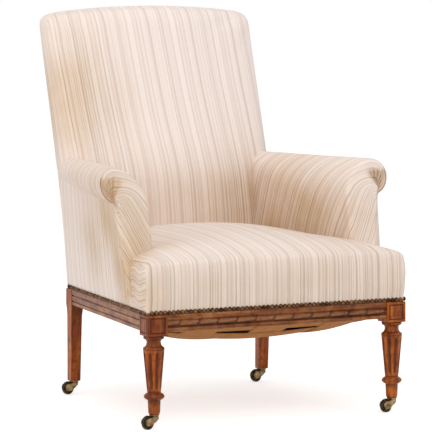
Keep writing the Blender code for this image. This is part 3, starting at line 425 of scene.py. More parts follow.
class Nodes:
    """A material's nodes, with short calls to add and link them."""

    def __init__(self, name):
        self.material = bpy.data.materials.new(name)
        self.material.use_nodes = True
        self.tree = self.material.node_tree
        self.shader = self.tree.nodes["Principled BSDF"]

    def add(self, kind, **settings):
        node = self.tree.nodes.new(kind)
        for key, value in settings.items():
            setattr(node, key, value)
        return node

    def link(self, source, target):
        """Links to a socket, or to an input of the shader that is named."""
        if isinstance(target, str):
            target = self.shader.inputs[target]
        self.tree.links.new(source, target)

    def feed(self, socket, value):
        """Links a socket to another one, or sets it to a number or colour."""
        if isinstance(value, bpy.types.NodeSocket):
            self.link(value, socket)
        else:
            socket.default_value = value

    def set(self, node=None, **values):
        """Sets inputs of a node, or else of the shader, by name with _ for a space."""
        owner = self.shader if node is None else node
        for name, value in values.items():
            owner.inputs[name.replace("_", " ")].default_value = value

    def stored(self, name):
        """A number kept on the points of the piece."""
        return self.add("ShaderNodeAttribute", attribute_name=name).outputs["Fac"]

    def split(self, vector):
        node = self.add("ShaderNodeSeparateXYZ")
        self.link(vector, node.inputs[0])
        return node.outputs

    def math(self, operation, first, second=None):
        node = self.add("ShaderNodeMath", operation=operation)
        self.feed(node.inputs[0], first)
        if second is not None:
            self.feed(node.inputs[1], second)
        return node.outputs[0]

    def ramp(self, factor, stops, steps=False):
        node = self.add("ShaderNodeValToRGB")
        node.color_ramp.interpolation = "CONSTANT" if steps else "LINEAR"
        elements = node.color_ramp.elements
        while len(elements) < len(stops):
            elements.new(0.5)
        for element, (position, colour) in zip(elements, stops):
            element.position = position
            element.color = colour
        self.link(factor, node.inputs[0])
        return node.outputs[0]

    def mix(self, factor, first, second, blend="MIX"):
        node = self.add("ShaderNodeMix", data_type="RGBA", blend_type=blend)
        for socket, value in ((0, factor), (6, first), (7, second)):
            self.feed(node.inputs[socket], value)
        return node.outputs[2]

    def noise(self, vector, scale, detail=3.0, roughness=0.5):
        node = self.add("ShaderNodeTexNoise")
        self.set(node, Scale=scale, Detail=detail, Roughness=roughness)
        self.link(vector, node.inputs["Vector"])
        return node.outputs["Fac"]

    def place(self, stretch):
        """Object coordinates stretched along each axis."""
        where = self.add("ShaderNodeTexCoord")
        mapping = self.add("ShaderNodeMapping")
        self.set(mapping, Scale=stretch)
        self.link(where.outputs["Object"], mapping.inputs["Vector"])
        return mapping.outputs["Vector"]

    def bump(self, height, depth, strength):
        node = self.add("ShaderNodeBump")
        self.set(node, Strength=strength, Distance=depth)
        self.link(height, node.inputs["Height"])
        self.link(node.outputs["Normal"], "Normal")


def white(value):
    return (value, value, value, 1.0)


STRIPE_REPEAT = 0.118
MAIN_LINE = linear(226, 208, 199)
TAN = linear(234, 217, 208)
PALE = linear(241, 227, 220)
CREAM = linear(243, 230, 222)
LIGHT = linear(246, 233, 227)
STRIPES = [
    (0.000, MAIN_LINE), (0.030, CREAM), (0.165, PALE), (0.203, LIGHT), (0.241, TAN), (0.273, PALE),
    (0.295, TAN), (0.350, PALE), (0.392, CREAM), (0.480, TAN), (0.522, LIGHT), (0.640, TAN),
    (0.674, PALE), (0.733, TAN), (0.762, CREAM), (0.810, TAN), (0.851, LIGHT), (0.905, PALE),
    (0.982, MAIN_LINE),
]

# Where the cloth is painted tan: yellowed or rubbed places, and painted shade in the right arm's hollow.
# Place, reach along each axis and strength
STAINS = (
    ((-0.25, 0.66, 0.74), (0.12, 0.20, 0.16), 0.80),
    ((0.05, 0.54, 0.48), (0.30, 0.12, 0.10), 0.38),
    ((0.02, 0.20, 0.44), (0.40, 0.25, 0.06), 0.20),
    ((-0.33, 0.36, 0.40), (0.10, 0.07, 0.09), 0.55),
    ((-0.35, 0.22, 0.48), (0.10, 0.07, 0.08), 0.60),
    ((-0.34, 0.35, 0.42), (0.06, 0.30, 0.18), 0.30),
    ((-0.38, 0.33, 0.58), (0.08, 0.28, 0.06), 0.45),
    ((-0.31, 0.12, 0.44), (0.10, 0.06, 0.12), 0.70),
    ((-0.345, 0.14, 0.32), (0.06, 0.05, 0.07), 0.60),
    # Right inside arm: yellowed cloth, and painted shade in the hollow between arm and seat
    ((0.25, 0.40, 0.44), (0.12, 0.30, 0.14), 1.10),
    ((0.33, 0.14, 0.46), (0.07, 0.06, 0.10), 0.15),
    ((0.0, -0.03, 0.30), (0.60, 0.06, 0.09), 0.60),
    ((-0.34, 0.06, 0.33), (0.05, 0.09, 0.09), 0.60),
)


def stain_and_shade(p):
    total = 0.0
    for centre, reach, strength in STAINS:
        away = sum(((a - b) / c) ** 2 for a, b, c in zip(p, centre, reach))
        total += strength * math.exp(-away)
    return min(1.0, total)


def striped_cloth(name, coordinate="stripe"):
    """Woven stripes over a stored coordinate, faded and stained in places, with painted shade in folds, at
    the nailed edge and in hollows.
    """
    nodes = Nodes(name)
    plain = nodes.place((1, 1, 1))
    drift = nodes.math("MULTIPLY", nodes.noise(plain, 5.0, 2.0), 0.004)
    across = nodes.math("ADD", nodes.stored(coordinate), drift)
    repeat = nodes.math("FRACT", nodes.math("MULTIPLY", nodes.math("ADD", across, 10.0), 1 / STRIPE_REPEAT))
    colour = nodes.ramp(repeat, STRIPES, steps=True)
    stain_and_shade_amount = nodes.stored("stain_and_shade")
    threads = nodes.add("ShaderNodeTexNoise", noise_dimensions="1D")
    nodes.set(threads, Scale=210.0, Detail=3.0)
    nodes.link(across, threads.inputs["W"])
    lines = nodes.ramp(threads.outputs["Fac"], [(0.38, white(0.66)), (0.47, white(1.0))])
    shown = nodes.math("MINIMUM", nodes.math("ADD", nodes.math("MULTIPLY", stain_and_shade_amount, 0.9), 0.22), 1.0)
    colour = nodes.mix(shown, colour, lines, "MULTIPLY")
    slub = nodes.noise(nodes.place((260, 260, 40)), 1.0, 2.0)
    colour = nodes.mix(1.0, colour, nodes.ramp(slub, [(0.3, white(0.96)), (0.7, white(1.0))]), "MULTIPLY")
    patchy = nodes.ramp(nodes.noise(plain, 9.0, 3.0), [(0.3, white(0.55)), (0.7, white(1.0))])
    # Tan from the stored stain value: stains, and painted shade in hollows
    colour = nodes.mix(nodes.math("MULTIPLY", stain_and_shade_amount, patchy), colour, linear(224, 203, 168), "MULTIPLY")
    # Painted shade in the scroll's pleats and seam, and the nails' painted shadow on the cloth's edge
    colour = nodes.mix(nodes.stored("fold"), colour, linear(150, 106, 56), "MULTIPLY")
    nodes.link(colour, "Base Color")
    nodes.set(Roughness=0.9, Sheen_Weight=0.12)
    weave = nodes.noise(nodes.place((700, 700, 700)), 1.0, 2.0)
    nodes.bump(weave, 0.0004, 0.5)
    return nodes.material


GROOVE_REACH = 0.0018


def timber(name, dark, middle, light, grain, varnish=0.2, grooves=(), seat_shade=0.0):
    """Wood with its grain drawn out along one axis, with painted shade and dirt in its hollows and painted
    shade in level grooves.

    Faces that look forward are darkened by painted shade, most under the seat.
    """
    nodes = Nodes(name)
    plain = nodes.place((1, 1, 1))
    figure = nodes.noise(nodes.place(grain), 1.0, 6.0, 0.62)
    colour = nodes.ramp(figure, [(0.30, dark), (0.50, middle), (0.72, light)])
    rub = nodes.ramp(nodes.noise(plain, 22.0, 4.0), [(0.45, white(0.0)), (0.75, white(0.5))])
    colour = nodes.mix(rub, colour, light)
    dirt = nodes.ramp(nodes.noise(plain, 75.0, 3.0), [(0.30, white(0.55)), (0.55, white(1.0))])
    colour = nodes.mix(1.0, colour, dirt, "MULTIPLY")
    hollow = nodes.stored("hollow")
    height = nodes.split(plain)["Z"]
    for groove in grooves:
        away = nodes.math("ABSOLUTE", nodes.math("SUBTRACT", height, groove))
        near = nodes.math("SUBTRACT", 1.0, nodes.math("DIVIDE", away, GROOVE_REACH))
        hollow = nodes.math("MAXIMUM", hollow, near)
    # Painted shade on faces that look forward, darkest high up under the seat
    if seat_shade:
        facing = nodes.split(nodes.add("ShaderNodeNewGeometry").outputs["Normal"])
        forward = nodes.math("MULTIPLY", facing["Y"], -1.0)
        under = nodes.ramp(height, [(0.10, white(0.25 * seat_shade)), (0.22, white(seat_shade))])
        hollow = nodes.math("MAXIMUM", hollow, nodes.math("MULTIPLY", under, forward))
    # Painted shade and dirt from the stored hollow value, the level grooves and the forward faces
    colour = nodes.mix(nodes.math("MULTIPLY", hollow, 0.8), colour, linear(58, 22, 8))
    # Dust and a painted highlight on the carved ridges
    colour = nodes.mix(nodes.stored("dust_and_highlight"), colour, linear(160, 128, 102))
    nodes.link(colour, "Base Color")
    nodes.link(nodes.ramp(figure, [(0.3, white(0.48)), (0.7, white(0.36))]), "Roughness")
    nodes.set(Specular_IOR_Level=0.10, Coat_Weight=varnish, Coat_Roughness=0.14)
    nodes.bump(figure, 0.0004, 0.4)
    return nodes.material


def metal(name, dull, bright, roughness):
    """Metal that is dull and rougher in patches."""
    nodes = Nodes(name)
    patina = nodes.noise(nodes.place((1, 1, 1)), 90.0, 3.0)
    nodes.link(nodes.ramp(patina, [(0.35, dull), (0.70, bright)]), "Base Color")
    nodes.link(nodes.ramp(patina, [(0.35, white(roughness + 0.2)), (0.70, white(roughness))]), "Roughness")
    nodes.set(Metallic=1.0)
    nodes.bump(patina, 0.0002, 0.3)
    return nodes.material


# Scale of a wave texture whose bands are a metre apart
WAVE_SCALE = 0.314


def sacking(name, dark, light, pitch):
    """Open plain weave: two sets of threads at right angles, with frayed colour."""
    nodes = Nodes(name)
    plain = nodes.place((1, 1, 1))
    threads = []
    for direction in ("X", "Y"):
        wave = nodes.add("ShaderNodeTexWave", wave_type="BANDS", bands_direction=direction)
        nodes.set(wave, Scale=WAVE_SCALE / pitch, Distortion=1.2)
        nodes.link(plain, wave.inputs["Vector"])
        threads.append(wave.outputs["Fac"])
    weave = nodes.math("MAXIMUM", *threads)
    fray = nodes.noise(plain, 40.0, 4.0)
    tone = nodes.math("MULTIPLY", nodes.math("ADD", weave, fray), 0.55)
    nodes.link(nodes.ramp(tone, [(0.25, dark), (0.75, light)]), "Base Color")
    nodes.set(Roughness=0.95)
    nodes.bump(weave, 0.0006, 0.6)
    return nodes.material


CLOTH = striped_cloth("striped_cloth")
BOXING_CLOTH = striped_cloth("striped_cloth_sideways", "side_stripe")
LEG_TONES = (linear(86, 34, 6), linear(156, 72, 14), linear(202, 114, 38))
RAIL_TONES = (linear(78, 38, 16), linear(134, 74, 36), linear(178, 116, 68))
BEECH_TONES = (linear(146, 96, 60), linear(188, 134, 90), linear(208, 162, 116))
REED = (COVER_LINE - RAIL_BOTTOM - BEAD_HEIGHT) / 2
UPRIGHT_GRAIN = (90, 90, 9)
ACROSS_GRAIN = (9, 90, 90)
DEEP_GRAIN = (90, 9, 90)
WALNUT_UPRIGHT = timber("walnut_upright", *LEG_TONES, UPRIGHT_GRAIN)
# Rear left post: painted shade on its forward faces under the seat
WALNUT_SHADED_UNDER_SEAT = timber("walnut_shaded_under_seat", *LEG_TONES, UPRIGHT_GRAIN, seat_shade=0.8)
WALNUT_ACROSS = timber("walnut_across", *RAIL_TONES, ACROSS_GRAIN)
# Side rails: painted shade in the two grooves between the reeds
WALNUT_DEEP = timber("walnut_deep", *RAIL_TONES, DEEP_GRAIN,
                     grooves=(COVER_LINE - REED, COVER_LINE - 2 * REED))
BEECH = timber("beech_frame", *BEECH_TONES, ACROSS_GRAIN, varnish=0.0)
BRASS = metal("antique_brass", linear(94, 74, 50), linear(170, 142, 104), 0.30)
WHEEL_BRASS = metal("wheel_brass", linear(30, 25, 20), linear(78, 66, 50), 0.30)
NAIL_BRASS = metal("nail_brass", linear(52, 34, 22), linear(126, 90, 60), 0.40)
STEEL = metal("coil_steel", linear(60, 56, 52), linear(120, 112, 104), 0.4)
JUTE = sacking("jute_strap", linear(124, 70, 28), linear(196, 134, 72), 0.0024)
HESSIAN = sacking("hessian_cloth", linear(120, 88, 54), linear(176, 140, 96), 0.0020)


# Seat

def seat_cover():
    """Tight crowned seat: bellied front and ears, drawn in under the arms, hollow over the springs."""
    across = (0.03, 0.12, 0.22, 0.36, 0.5, 0.64, 0.78, 0.88, 0.97)
    deep = (0.035, 0.10, 0.165, 0.215, 0.27, 0.36, 0.5, 0.65, 0.80, 0.93)

    def belly(w):
        if w < 0.05:
            return 0.0
        if w < 0.15:
            return -SEAT_BULGE / 6
        return SEAT_BULGE * (1 - share(w, 0.5, 1.0) ** 2 * 0.9)

    def place(u, v, w):
        out = belly(w)
        y = lerp(FRONT_FACE_Y - out, POST_FRONT_Y, v)
        side = 2 * u - 1
        crown = (1 - abs(side) ** 3) * (1 - abs(v / SEAT_CROWN_AT - 1) ** 2.2)
        corner = side ** 4 * (1 - v) ** 6
        top = SEAT_EDGE + SEAT_CROWN * crown - SEAT_CORNER_FALL * corner
        hollow = w < 0.05 and 0.1 < u < 0.9 and 0.08 < v < 0.95
        z = WELL_TOP if hollow else lerp(COVER_LINE, top, w)
        inside = ease(y, arm_face_y(z) + EAR_FROM, arm_face_y(z) + EAR_TO)
        half = lerp(rail_x(max(y, 0)) + out, along_arm(y, ARM_INNER) + SEAT_UNDER_ARM, inside)
        return Vector((side * half, y, z))

    body = shaped_block(place, across, deep, (0.10, 0.5, 0.85))
    crease = body.edges.layers.float.new("crease_edge")
    for edge in body.edges:
        if all(abs(vert.co.z - COVER_LINE) < 0.0005 for vert in edge.verts) and not edge.is_boundary:
            edge[crease] = 0.9
    seat = add_piece("seat_cover", body, CLOTH)
    subdivide(seat, 2)
    puff(seat, lambda p: p.z < SEAT_HELD_BELOW or p.y > SEAT_HELD_BEHIND)
    subdivide(seat, 1)
    lay_cloth(seat, lambda p: p.x)
    store(seat, "fold", painted_nail_shadow)
    store(seat, "side_stripe", lambda p: p.z + CHEVRON_RISE * math.sin(2 * math.pi * p.y / CHEVRON_PITCH))
    seat.data.materials.append(BOXING_CLOTH)
    for face in seat.data.polygons:
        if abs(face.normal.x) > 0.80 and face.center.z < SEAT_EDGE - 0.008:
            face.material_index = 1
    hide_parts("seat_pad")


# Back

def back_cover():
    """Inside back with a lumbar swell, its edges rolled over the posts and the crest."""
    across = (0.065, 0.16, 0.27, 0.38, 0.5, 0.62, 0.73, 0.84, 0.935)
    tall = (0.05, 0.15, 0.25, 0.34, 0.375, 0.40, 0.46, 0.53, 0.61, 0.70, 0.80, 0.88, 0.945)

    def place(u, v, w):
        side = 2 * u - 1
        top = BACK_SIDE_TOP + BACK_CROWN * (1 - side ** 2) - 0.006 * abs(side) ** 24
        z = lerp(RAIL_TOP, top, w)
        half = lerp(BACK_WAIST, BACK_HALF_WIDTH, ease(z, *BACK_SHOULDERS))
        x = side * half
        return Vector((x, lerp(back_front_y(x, z), post_rear_y(z), v), z))

    back = add_piece("back_cover", shaped_block(place, across, (0.45, 0.93), tall), CLOTH)
    subdivide(back, 2)
    puff(back, lambda p: p.z < HELD_BELOW or p.y > post_front_y(p.z) - 0.006)
    subdivide(back, 1)

    def across_back(p):
        """Distance across the cloth, which goes on round the side edges."""
        round_edge = math.copysign(max(0.0, p.y - post_front_y(p.z) + 0.012), p.x)
        return p.x + round_edge + BACK_STRIPE_LEAN * p.z

    lay_cloth(back, across_back)
    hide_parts("back_pad")


def add_panel(name, body, worn):
    """A thin cover that is stretched flat, its edges rounded."""
    panel = add_piece(name, body, CLOTH)
    bevel(panel, worn, 3)
    bake(panel)
    panel.data.shade_smooth()
    return panel


def outside_back():
    """Plain panel closing the back of the chair."""
    def place(u, v, w):
        side = 2 * u - 1
        top = BACK_SIDE_TOP - 0.018 + BACK_CROWN * (1 - side ** 2)
        z = lerp(PANEL_BOTTOM, top, w)
        y = post_rear_y(z)
        below = cover_x(y, min(z, ARM_UNDER))
        half = lerp(below, BACK_HALF_WIDTH - 0.005, ease(z, ARM_UNDER - 0.01, ARM_UNDER + 0.03))
        pillow = PANEL_PILLOW["back"] * (1 - side ** 4) * (1 - (2 * w - 1) ** 4)
        return Vector((side * half, y + COVER_GAP + (PANEL_THICK + pillow) * v, z))

    panel = add_panel("outside_back_cover", shaped_block(place, even(16), (), even(30)), 0.0018)
    lay_cloth(panel, lambda p: p.x)
    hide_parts("outside_back")


# Arms

FOOT_Z = COVER_LINE + 0.0015
LOW_COUNT = 15
UPPER_COUNT = 6
ARC_COUNT = 26
FACE_STEPS = 9
REAR_STEPS = 3
REAR_ROUND = 0.009
ROLL_TUCK = 0.006
SEAM_STEP = -3
# Per arm: how tan the scroll face is painted, as yellowed cloth and painted shade on its sunk face, and how
# dark the painted shade is in its pleat valleys
SCROLL_TONE = {"left": (1.15, 0.28), "right": (0.90, 0.75)}


class ArmSection:
    """Outline of the arm at one distance along it: inner face, roll and outer face."""

    def __init__(self, plane, inset=0.0, tuck=0.0, drawn_in=0.0, recess=0.0):
        self.plane = plane
        self.drawn_in = drawn_in
        self.recess = recess
        roll_y = plane(ARM_TOP - ROLL_RADIUS[0])
        radius = along_arm(roll_y, ROLL_RADIUS)
        centre_x = cover_x(roll_y, ARM_UNDER) + along_arm(roll_y, ROLL_OVERHANG) - radius
        drop = ARM_REAR_DROP * max(0.0, share(roll_y, ARM_FRONT_Y, ARM_REAR_Y))
        centre_z = ARM_TOP - drop - radius
        lip_x = cover_x(roll_y, ARM_FRONT_Z) + ROLL_LIP
        end = -math.acos(min(1.0, (lip_x - centre_x) / radius))
        radius -= inset
        depth = radius + ROLL_DROOP * (1 - ease(roll_y, ARM_FRONT_Y, ARM_FRONT_Y + DROOP_LENGTH))
        inner = along_arm(roll_y, ARM_INNER) + inset
        start = math.radians(ROLL_START)
        start_x = centre_x + radius * math.cos(start)
        start_z = centre_z + radius * math.sin(start)
        rise = start_z - ARM_KNEE
        power = math.tan(start - math.pi / 2) ** -1 * rise / (start_x - inner)
        self.apex = (lip_x - GATHER_IN, centre_z + depth * math.sin(end) + GATHER_UP)

        def inner_x(z):
            return inner + (start_x - inner) * max(0.0, share(z, ARM_KNEE, start_z)) ** power

        low = [lerp(FOOT_Z, self.apex[1], i / (LOW_COUNT - 1)) for i in range(LOW_COUNT)]
        upper = [lerp(self.apex[1], start_z, i / UPPER_COUNT) for i in range(1, UPPER_COUNT)]
        self.points = [(inner_x(z), z) for z in low + upper]
        self.targets = [self.spine(z, inner) for z in low] + [self.apex] * len(upper)
        for i in range(ARC_COUNT):
            angle = lerp(start, end, i / (ARC_COUNT - 1))
            reach = radius if angle > 0 else depth
            self.points.append((centre_x + radius * math.cos(angle), centre_z + reach * math.sin(angle)))
            self.targets.append(self.apex)
        for z in reversed(low[:-1]):
            self.points.append((cover_x(plane(z), z) - inset - tuck, z))
            self.targets.append(self.spine(z, inner))

    def spine(self, z, inner):
        """Line down the middle of the facing from the gathering point."""
        middle = (inner + cover_x(self.plane(FOOT_Z), FOOT_Z)) / 2
        return (lerp(middle, self.apex[0], share(z, FOOT_Z, self.apex[1]) ** 1.6), z)

    def stripes(self):
        """Stripe coordinate of each point: the cloth leans forward up the arm, less over the roll."""
        climb = 0.0
        values = []
        for i, (x, z) in enumerate(self.points):
            if i:
                before = self.points[i - 1]
                step = math.hypot(x - before[0], z - before[1])
                climb += step if i < LOW_COUNT + UPPER_COUNT else step * ROLL_SLANT_SHARE
            y = self.plane(z)
            values.append(y - self.drawn_in + along_arm(y, STRIPE_SLANT) * climb)
        return values


FIRST_OUTER = LOW_COUNT + UPPER_COUNT - 1 + ARC_COUNT


def front_plane(back_by):
    return lambda z: arm_face_y(z) + back_by


def arm_plane(t):
    return lambda z: lerp(arm_face_y(z) + FACING + 0.001, arm_rear_y(z), t)


def rear_plane(beyond):
    return lambda z: arm_rear_y(z) + beyond


def closing_rows(section, edge, steps, gather, relief):
    """Rows that close the end of the arm, from its rounded edge in to the spine."""
    rows = []
    for step in range(1, steps + 1):
        r = step / steps
        row = []
        for i, (point, stripe) in enumerate(edge):
            x = lerp(point.x, section.targets[i][0], r)
            z = lerp(point.z, section.targets[i][1], r)
            inward = math.hypot(x - point.x, z - point.z)
            row.append((Vector((x, section.plane(z) + relief(i, r, z), z)), stripe + gather * inward))
        rows.append(row)
    return rows


def arm_rows():
    """Rows of points with their stripe coordinate, from the rear spine along and round to the front."""
    sections = []
    for step in range(5, 0, -1):
        turn = math.radians(18 * step)
        plane = rear_plane(REAR_ROUND * math.sin(turn))
        sections.append(ArmSection(plane, REAR_ROUND * (1 - math.cos(turn)), tuck=ROLL_TUCK))
    shares = (1.0, 0.97, 0.92, 0.84, 0.75, 0.66, 0.57, 0.48, 0.39, 0.30, 0.21, 0.13, 0.07, 0.035, 0.015,
              0.005, 0.0)
    sections += [ArmSection(arm_plane(t), tuck=ROLL_TUCK) for t in shares]
    sections.append(ArmSection(front_plane(FACING - 0.0005)))
    sections.append(ArmSection(front_plane((FACING + FACING_ROUND) / 2)))
    for step in range(6):
        turn = math.radians(18 * step)
        plane = front_plane(FACING_ROUND * (1 - math.sin(turn)))
        drawn_in = FACING_ROUND * (ROUND_GATHER * turn - math.sin(turn))
        recess = max(0.0, (step - 3) / 2)
        inset = FACING_ROUND * (1 - math.cos(turn))
        sections.append(ArmSection(plane, inset, drawn_in=drawn_in, recess=recess))
    rows = []
    for section in sections:
        row = []
        for i, ((x, z), stripe) in enumerate(zip(section.points, section.stripes())):
            y = section.plane(z) + section.recess * lip_recess(i, z)
            row.append((Vector((x, y, z)), stripe))
        rows.append(row)
    rear = closing_rows(sections[0], rows[0], REAR_STEPS, 1.0, lambda i, r, z: REAR_PILLOW * r)
    front = closing_rows(sections[-1], rows[-1], FACE_STEPS, -FACING_GATHER, face_relief)
    rows = rear[::-1] + rows + front
    for i in range(FIRST_OUTER, len(rows[-1])):
        twin = len(rows[-1]) - 1 - i
        middle = rows[-1][twin]
        for row in rows:
            row[i] = (row[i][0], middle[1] - FACING_GATHER * (row[i][0] - middle[0]).length)
    return rows


def scroll_share(column):
    """Place in the fan of pleats: 0 at the fold that bounds it, 1 at the lip."""
    return share(column, LOW_COUNT + UPPER_COUNT - 1, FIRST_OUTER - 1)


def valley(q):
    """1 at the bottom of each fold between the pleats, 0 on their crests."""
    return 0.5 + 0.5 * math.cos(2 * math.pi * PLEATS * q)


def pleat_window(r, z):
    """Pleats die out at the rim, at the apex and under the round front of the roll."""
    return max(0.0, math.sin(math.pi * r ** 0.7)) * below_front(z)


def below_front(z):
    return 1 - ease(z, PLEAT_TOP - 0.005, PLEAT_TOP + 0.005)


def lip_recess(column, z):
    """Depth of the scroll just inside the seam that runs along the lip."""
    q = scroll_share(column)
    return SCROLL_SINK * ease(q, 0.45, 0.60) * below_front(z) if q <= 1 else 0.0


def face_relief(column, r, z):
    """Pleats drawn in to the apex on the scroll, a soft pillow on the facing beside it."""
    q = scroll_share(column)
    if 0 < q <= 1:
        sunk = SCROLL_SINK * math.sin(math.pi * min(0.5, 0.55 * r)) * ease(q, 0.0, 0.12) * below_front(z)
        return max(sunk, lip_recess(column, z)) - PLEAT_DEPTH * (1 - valley(q)) * pleat_window(r, z)
    return -FACING_PILLOW * math.sin(math.pi / 2 * r)


def crease_depth(q, step, z, fold_shade):
    """How dark the cloth is painted in a fold, as painted shade in the pleat valleys and the seam's crevice:
    step counts the rows in from the rim, below 0 on its rounding.
    """
    if not 0 <= q <= 1:
        return 0.0
    if step == SEAM_STEP:
        return ease(q, 0.35, 0.55)
    if step < 0:
        return 0.0
    return fold_shade * valley(q) ** 1.3 * ease(step / FACE_STEPS, 0.0, 0.3) * below_front(z)


def arm_cover(side):
    """Inside arm, roll and facing in one cover, with its stripe, its stains with painted shade, and the
    painted shade of its folds stored on its points.
    """
    sign = SIDES[side]
    tan_and_shade, fold_shade = SCROLL_TONE[side]
    rows = arm_rows()
    face_start = len(rows) - FACE_STEPS
    body = bmesh.new()
    layer = body.verts.layers.float.new("stripe")
    stain_and_shade_layer = body.verts.layers.float.new("stain_and_shade")
    crease = body.verts.layers.float.new("fold")
    verts = []
    for j, row in enumerate(rows):
        made = []
        for i, (point, stripe) in enumerate(row):
            place = Vector((sign * point.x, point.y, point.z))
            vert = body.verts.new(place)
            vert[layer] = stripe
            vert[stain_and_shade_layer] = stain_and_shade(place)
            q = scroll_share(i)
            # The scroll face and its rounding by the seam are painted tan: yellowed cloth and painted shade
            # of the sunk face
            if 0 <= q <= 1 and (j >= face_start or j - face_start >= SEAM_STEP and q > 0.45):
                vert[stain_and_shade_layer] = lerp(vert[stain_and_shade_layer], tan_and_shade, below_front(point.z))
            vert[crease] = crease_depth(q, j - face_start, point.z, fold_shade)
            made.append(vert)
        verts.append(made)
    for low, high in zip(verts, verts[1:]):
        for i in range(len(low) - 1):
            body.faces.new((low[i], low[i + 1], high[i + 1], high[i]))
    bmesh.ops.remove_doubles(body, verts=body.verts, dist=0.00002)
    bmesh.ops.holes_fill(body, edges=[edge for edge in body.edges if edge.is_boundary], sides=0)
    bmesh.ops.triangulate(body, faces=[face for face in body.faces if len(face.verts) > 4])
    arm = add_piece(f"{side}_arm_cover", body, CLOTH)
    puff(arm, lambda p: p.z < HELD_BELOW or p.y > SEAT_HELD_BEHIND or p.y < arm_face_y(p.z) + 0.03, cap=0.003)
    subdivide(arm, 1, ("stripe", "stain_and_shade", "fold"))
    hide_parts(f"{side}_arm_pad", f"{side}_arm_facing")


def outside_arm(side):
    """Panel from the facing to the back corner, nailed at its foot and tucked under the roll."""
    sign = SIDES[side]

    def place(u, v, w):
        z = lerp(PANEL_BOTTOM, ARM_UNDER + 0.004, w)
        y = lerp(arm_face_y(z) + FACING, post_rear_y(z), v)
        pillow = PANEL_PILLOW["arm"] * (1 - (2 * v - 1) ** 6) * (1 - (2 * w - 1) ** 6)
        x = cover_x(y, min(z, ARM_UNDER)) - PANEL_THICK + (PANEL_THICK + pillow) * u
        return Vector((sign * x, y, z))

    panel = add_panel(f"{side}_outside_arm_cover", shaped_block(place, (), even(30), even(20)), 0.0016)
    lay_cloth(panel, lambda p: p.y)
    store(panel, "fold", painted_nail_shadow)
    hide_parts(f"{side}_outside_arm")


# Front legs, turned and fluted

BLOCK_BOTTOM = 0.2175
NECK_BOTTOM = 0.1890
SHAFT = (0.0875, 0.1850)
FLUTE_ENDS = (0.097, 0.176)
FLUTE_DEPTH = 0.0032
FLUTE_HALF_WIDTH = 0.0042
LEG_TURNS = 128
STUMP_IN = 0.010
HEAD_WEAR = 0.0012
PANEL_STEPS = ((0.0080, 0.0), (0.0010, -0.0018), (0.0026, 0.0), (0.0014, 0.0016))

# How dark each front leg is painted, as dirt and painted shade, the left leg shaded darker than the right:
# frame and field of the head, neck low and high, ring and foot
HEAD_SHADE = {"left": (0.46, 0.88), "right": (0.12, 0.0)}
NECK_SHADE = {"left": (0.50, 0.80), "right": (0.15, 0.45)}
RING_SHADE = {"left": 0.55, "right": 0.10}
FOOT_SHADE = {"left": 0.30, "right": 0.0}
RING_BOTTOM = 0.0664
QUIRKS = (0.2168, 0.2104, 0.1932, 0.1858, 0.0862, RING_BOTTOM)


def quirk(z):
    """Dirt and painted shade in the narrow turned grooves."""
    return max(math.exp(-((z - line) / 0.0012) ** 2) for line in QUIRKS)


def leg_profile():
    """Height and radius down the turned leg, from inside the block to the foot."""
    points = [(0.222, 0.0), (0.222, 0.0215), (0.2168, 0.0215), (0.2160, 0.0236), (0.2140, 0.0243)]
    points += [(0.2118, 0.0240), (0.2104, 0.0228), (0.2088, 0.0196), (0.2070, 0.0177), (0.2040, 0.0166)]
    points += [(0.2000, 0.0168), (0.1955, 0.0180)]
    points += [(0.1925, 0.0205), (0.1905, 0.0236), (0.1890, 0.0248), (0.1872, 0.0252), (0.1855, 0.0250)]
    count = 30
    points += [(lerp(0.1845, SHAFT[0], i / count), lerp(0.0249, 0.0162, i / count)) for i in range(count + 1)]
    points += [(0.0864, 0.0160)]
    for step in range(15):
        s = lerp(1, -1, step / 14)
        points.append((0.0762 + 0.0086 * s, 0.0157 + 0.0086 * (1 - abs(s) ** 2.1)))
    points += [(0.0660, 0.0150), (0.055, 0.0146), (0.045, 0.0142), (0.0390, 0.0138), (0.0362, 0.0132)]
    return points + [(0.0345, 0.0120), (0.0336, 0.0100), (0.0336, 0.0)]


def flute_depth(angle, z):
    """Eight stopped flutes on the tapered shaft."""
    low, high = FLUTE_ENDS
    phase = (angle / (math.pi / 4) + 0.5) % 1.0 - 0.5
    width = phase * (math.pi / 4) * lerp(0.0165, 0.0245, share(z, low, high))
    past = max(low - z, z - high, 0.0)
    reach = math.hypot(width, past) / FLUTE_HALF_WIDTH
    return FLUTE_DEPTH * math.sqrt(max(0.0, 1 - reach ** 2))


def leg_block(x, sign):
    """Square head with a sunk panel on its two outer faces, and the stump that stands in the seat frame."""
    body = bmesh.new()
    size = Matrix.Diagonal((BLOCK, BLOCK, COVER_LINE - BLOCK_BOTTOM, 1))
    centre = Matrix.Translation((x, 0, (COVER_LINE + BLOCK_BOTTOM) / 2))
    bmesh.ops.create_cube(body, size=1.0, matrix=centre @ size)
    body.normal_update()
    outer = [face for face in body.faces if face.normal.y < -0.9 or face.normal.x * sign > 0.9]
    for thickness, depth in PANEL_STEPS:
        bmesh.ops.inset_individual(body, faces=outer, thickness=thickness, depth=depth)
    edges = [edge for edge in body.edges if edge.calc_length() > 0.045]
    bmesh.ops.bevel(body, geom=edges, offset=HEAD_WEAR, segments=3, affect="EDGES", profile=0.5)
    head = bmesh.new()
    stump = Matrix.Diagonal((BLOCK - 2 * STUMP_IN, BLOCK - 2 * STUMP_IN, RAIL_TOP - COVER_LINE, 1))
    seat = Matrix.Translation((x - sign * STUMP_IN, STUMP_IN, (RAIL_TOP + COVER_LINE) / 2))
    bmesh.ops.create_cube(head, size=1.0, matrix=seat @ stump)
    join(body, head)
    return body


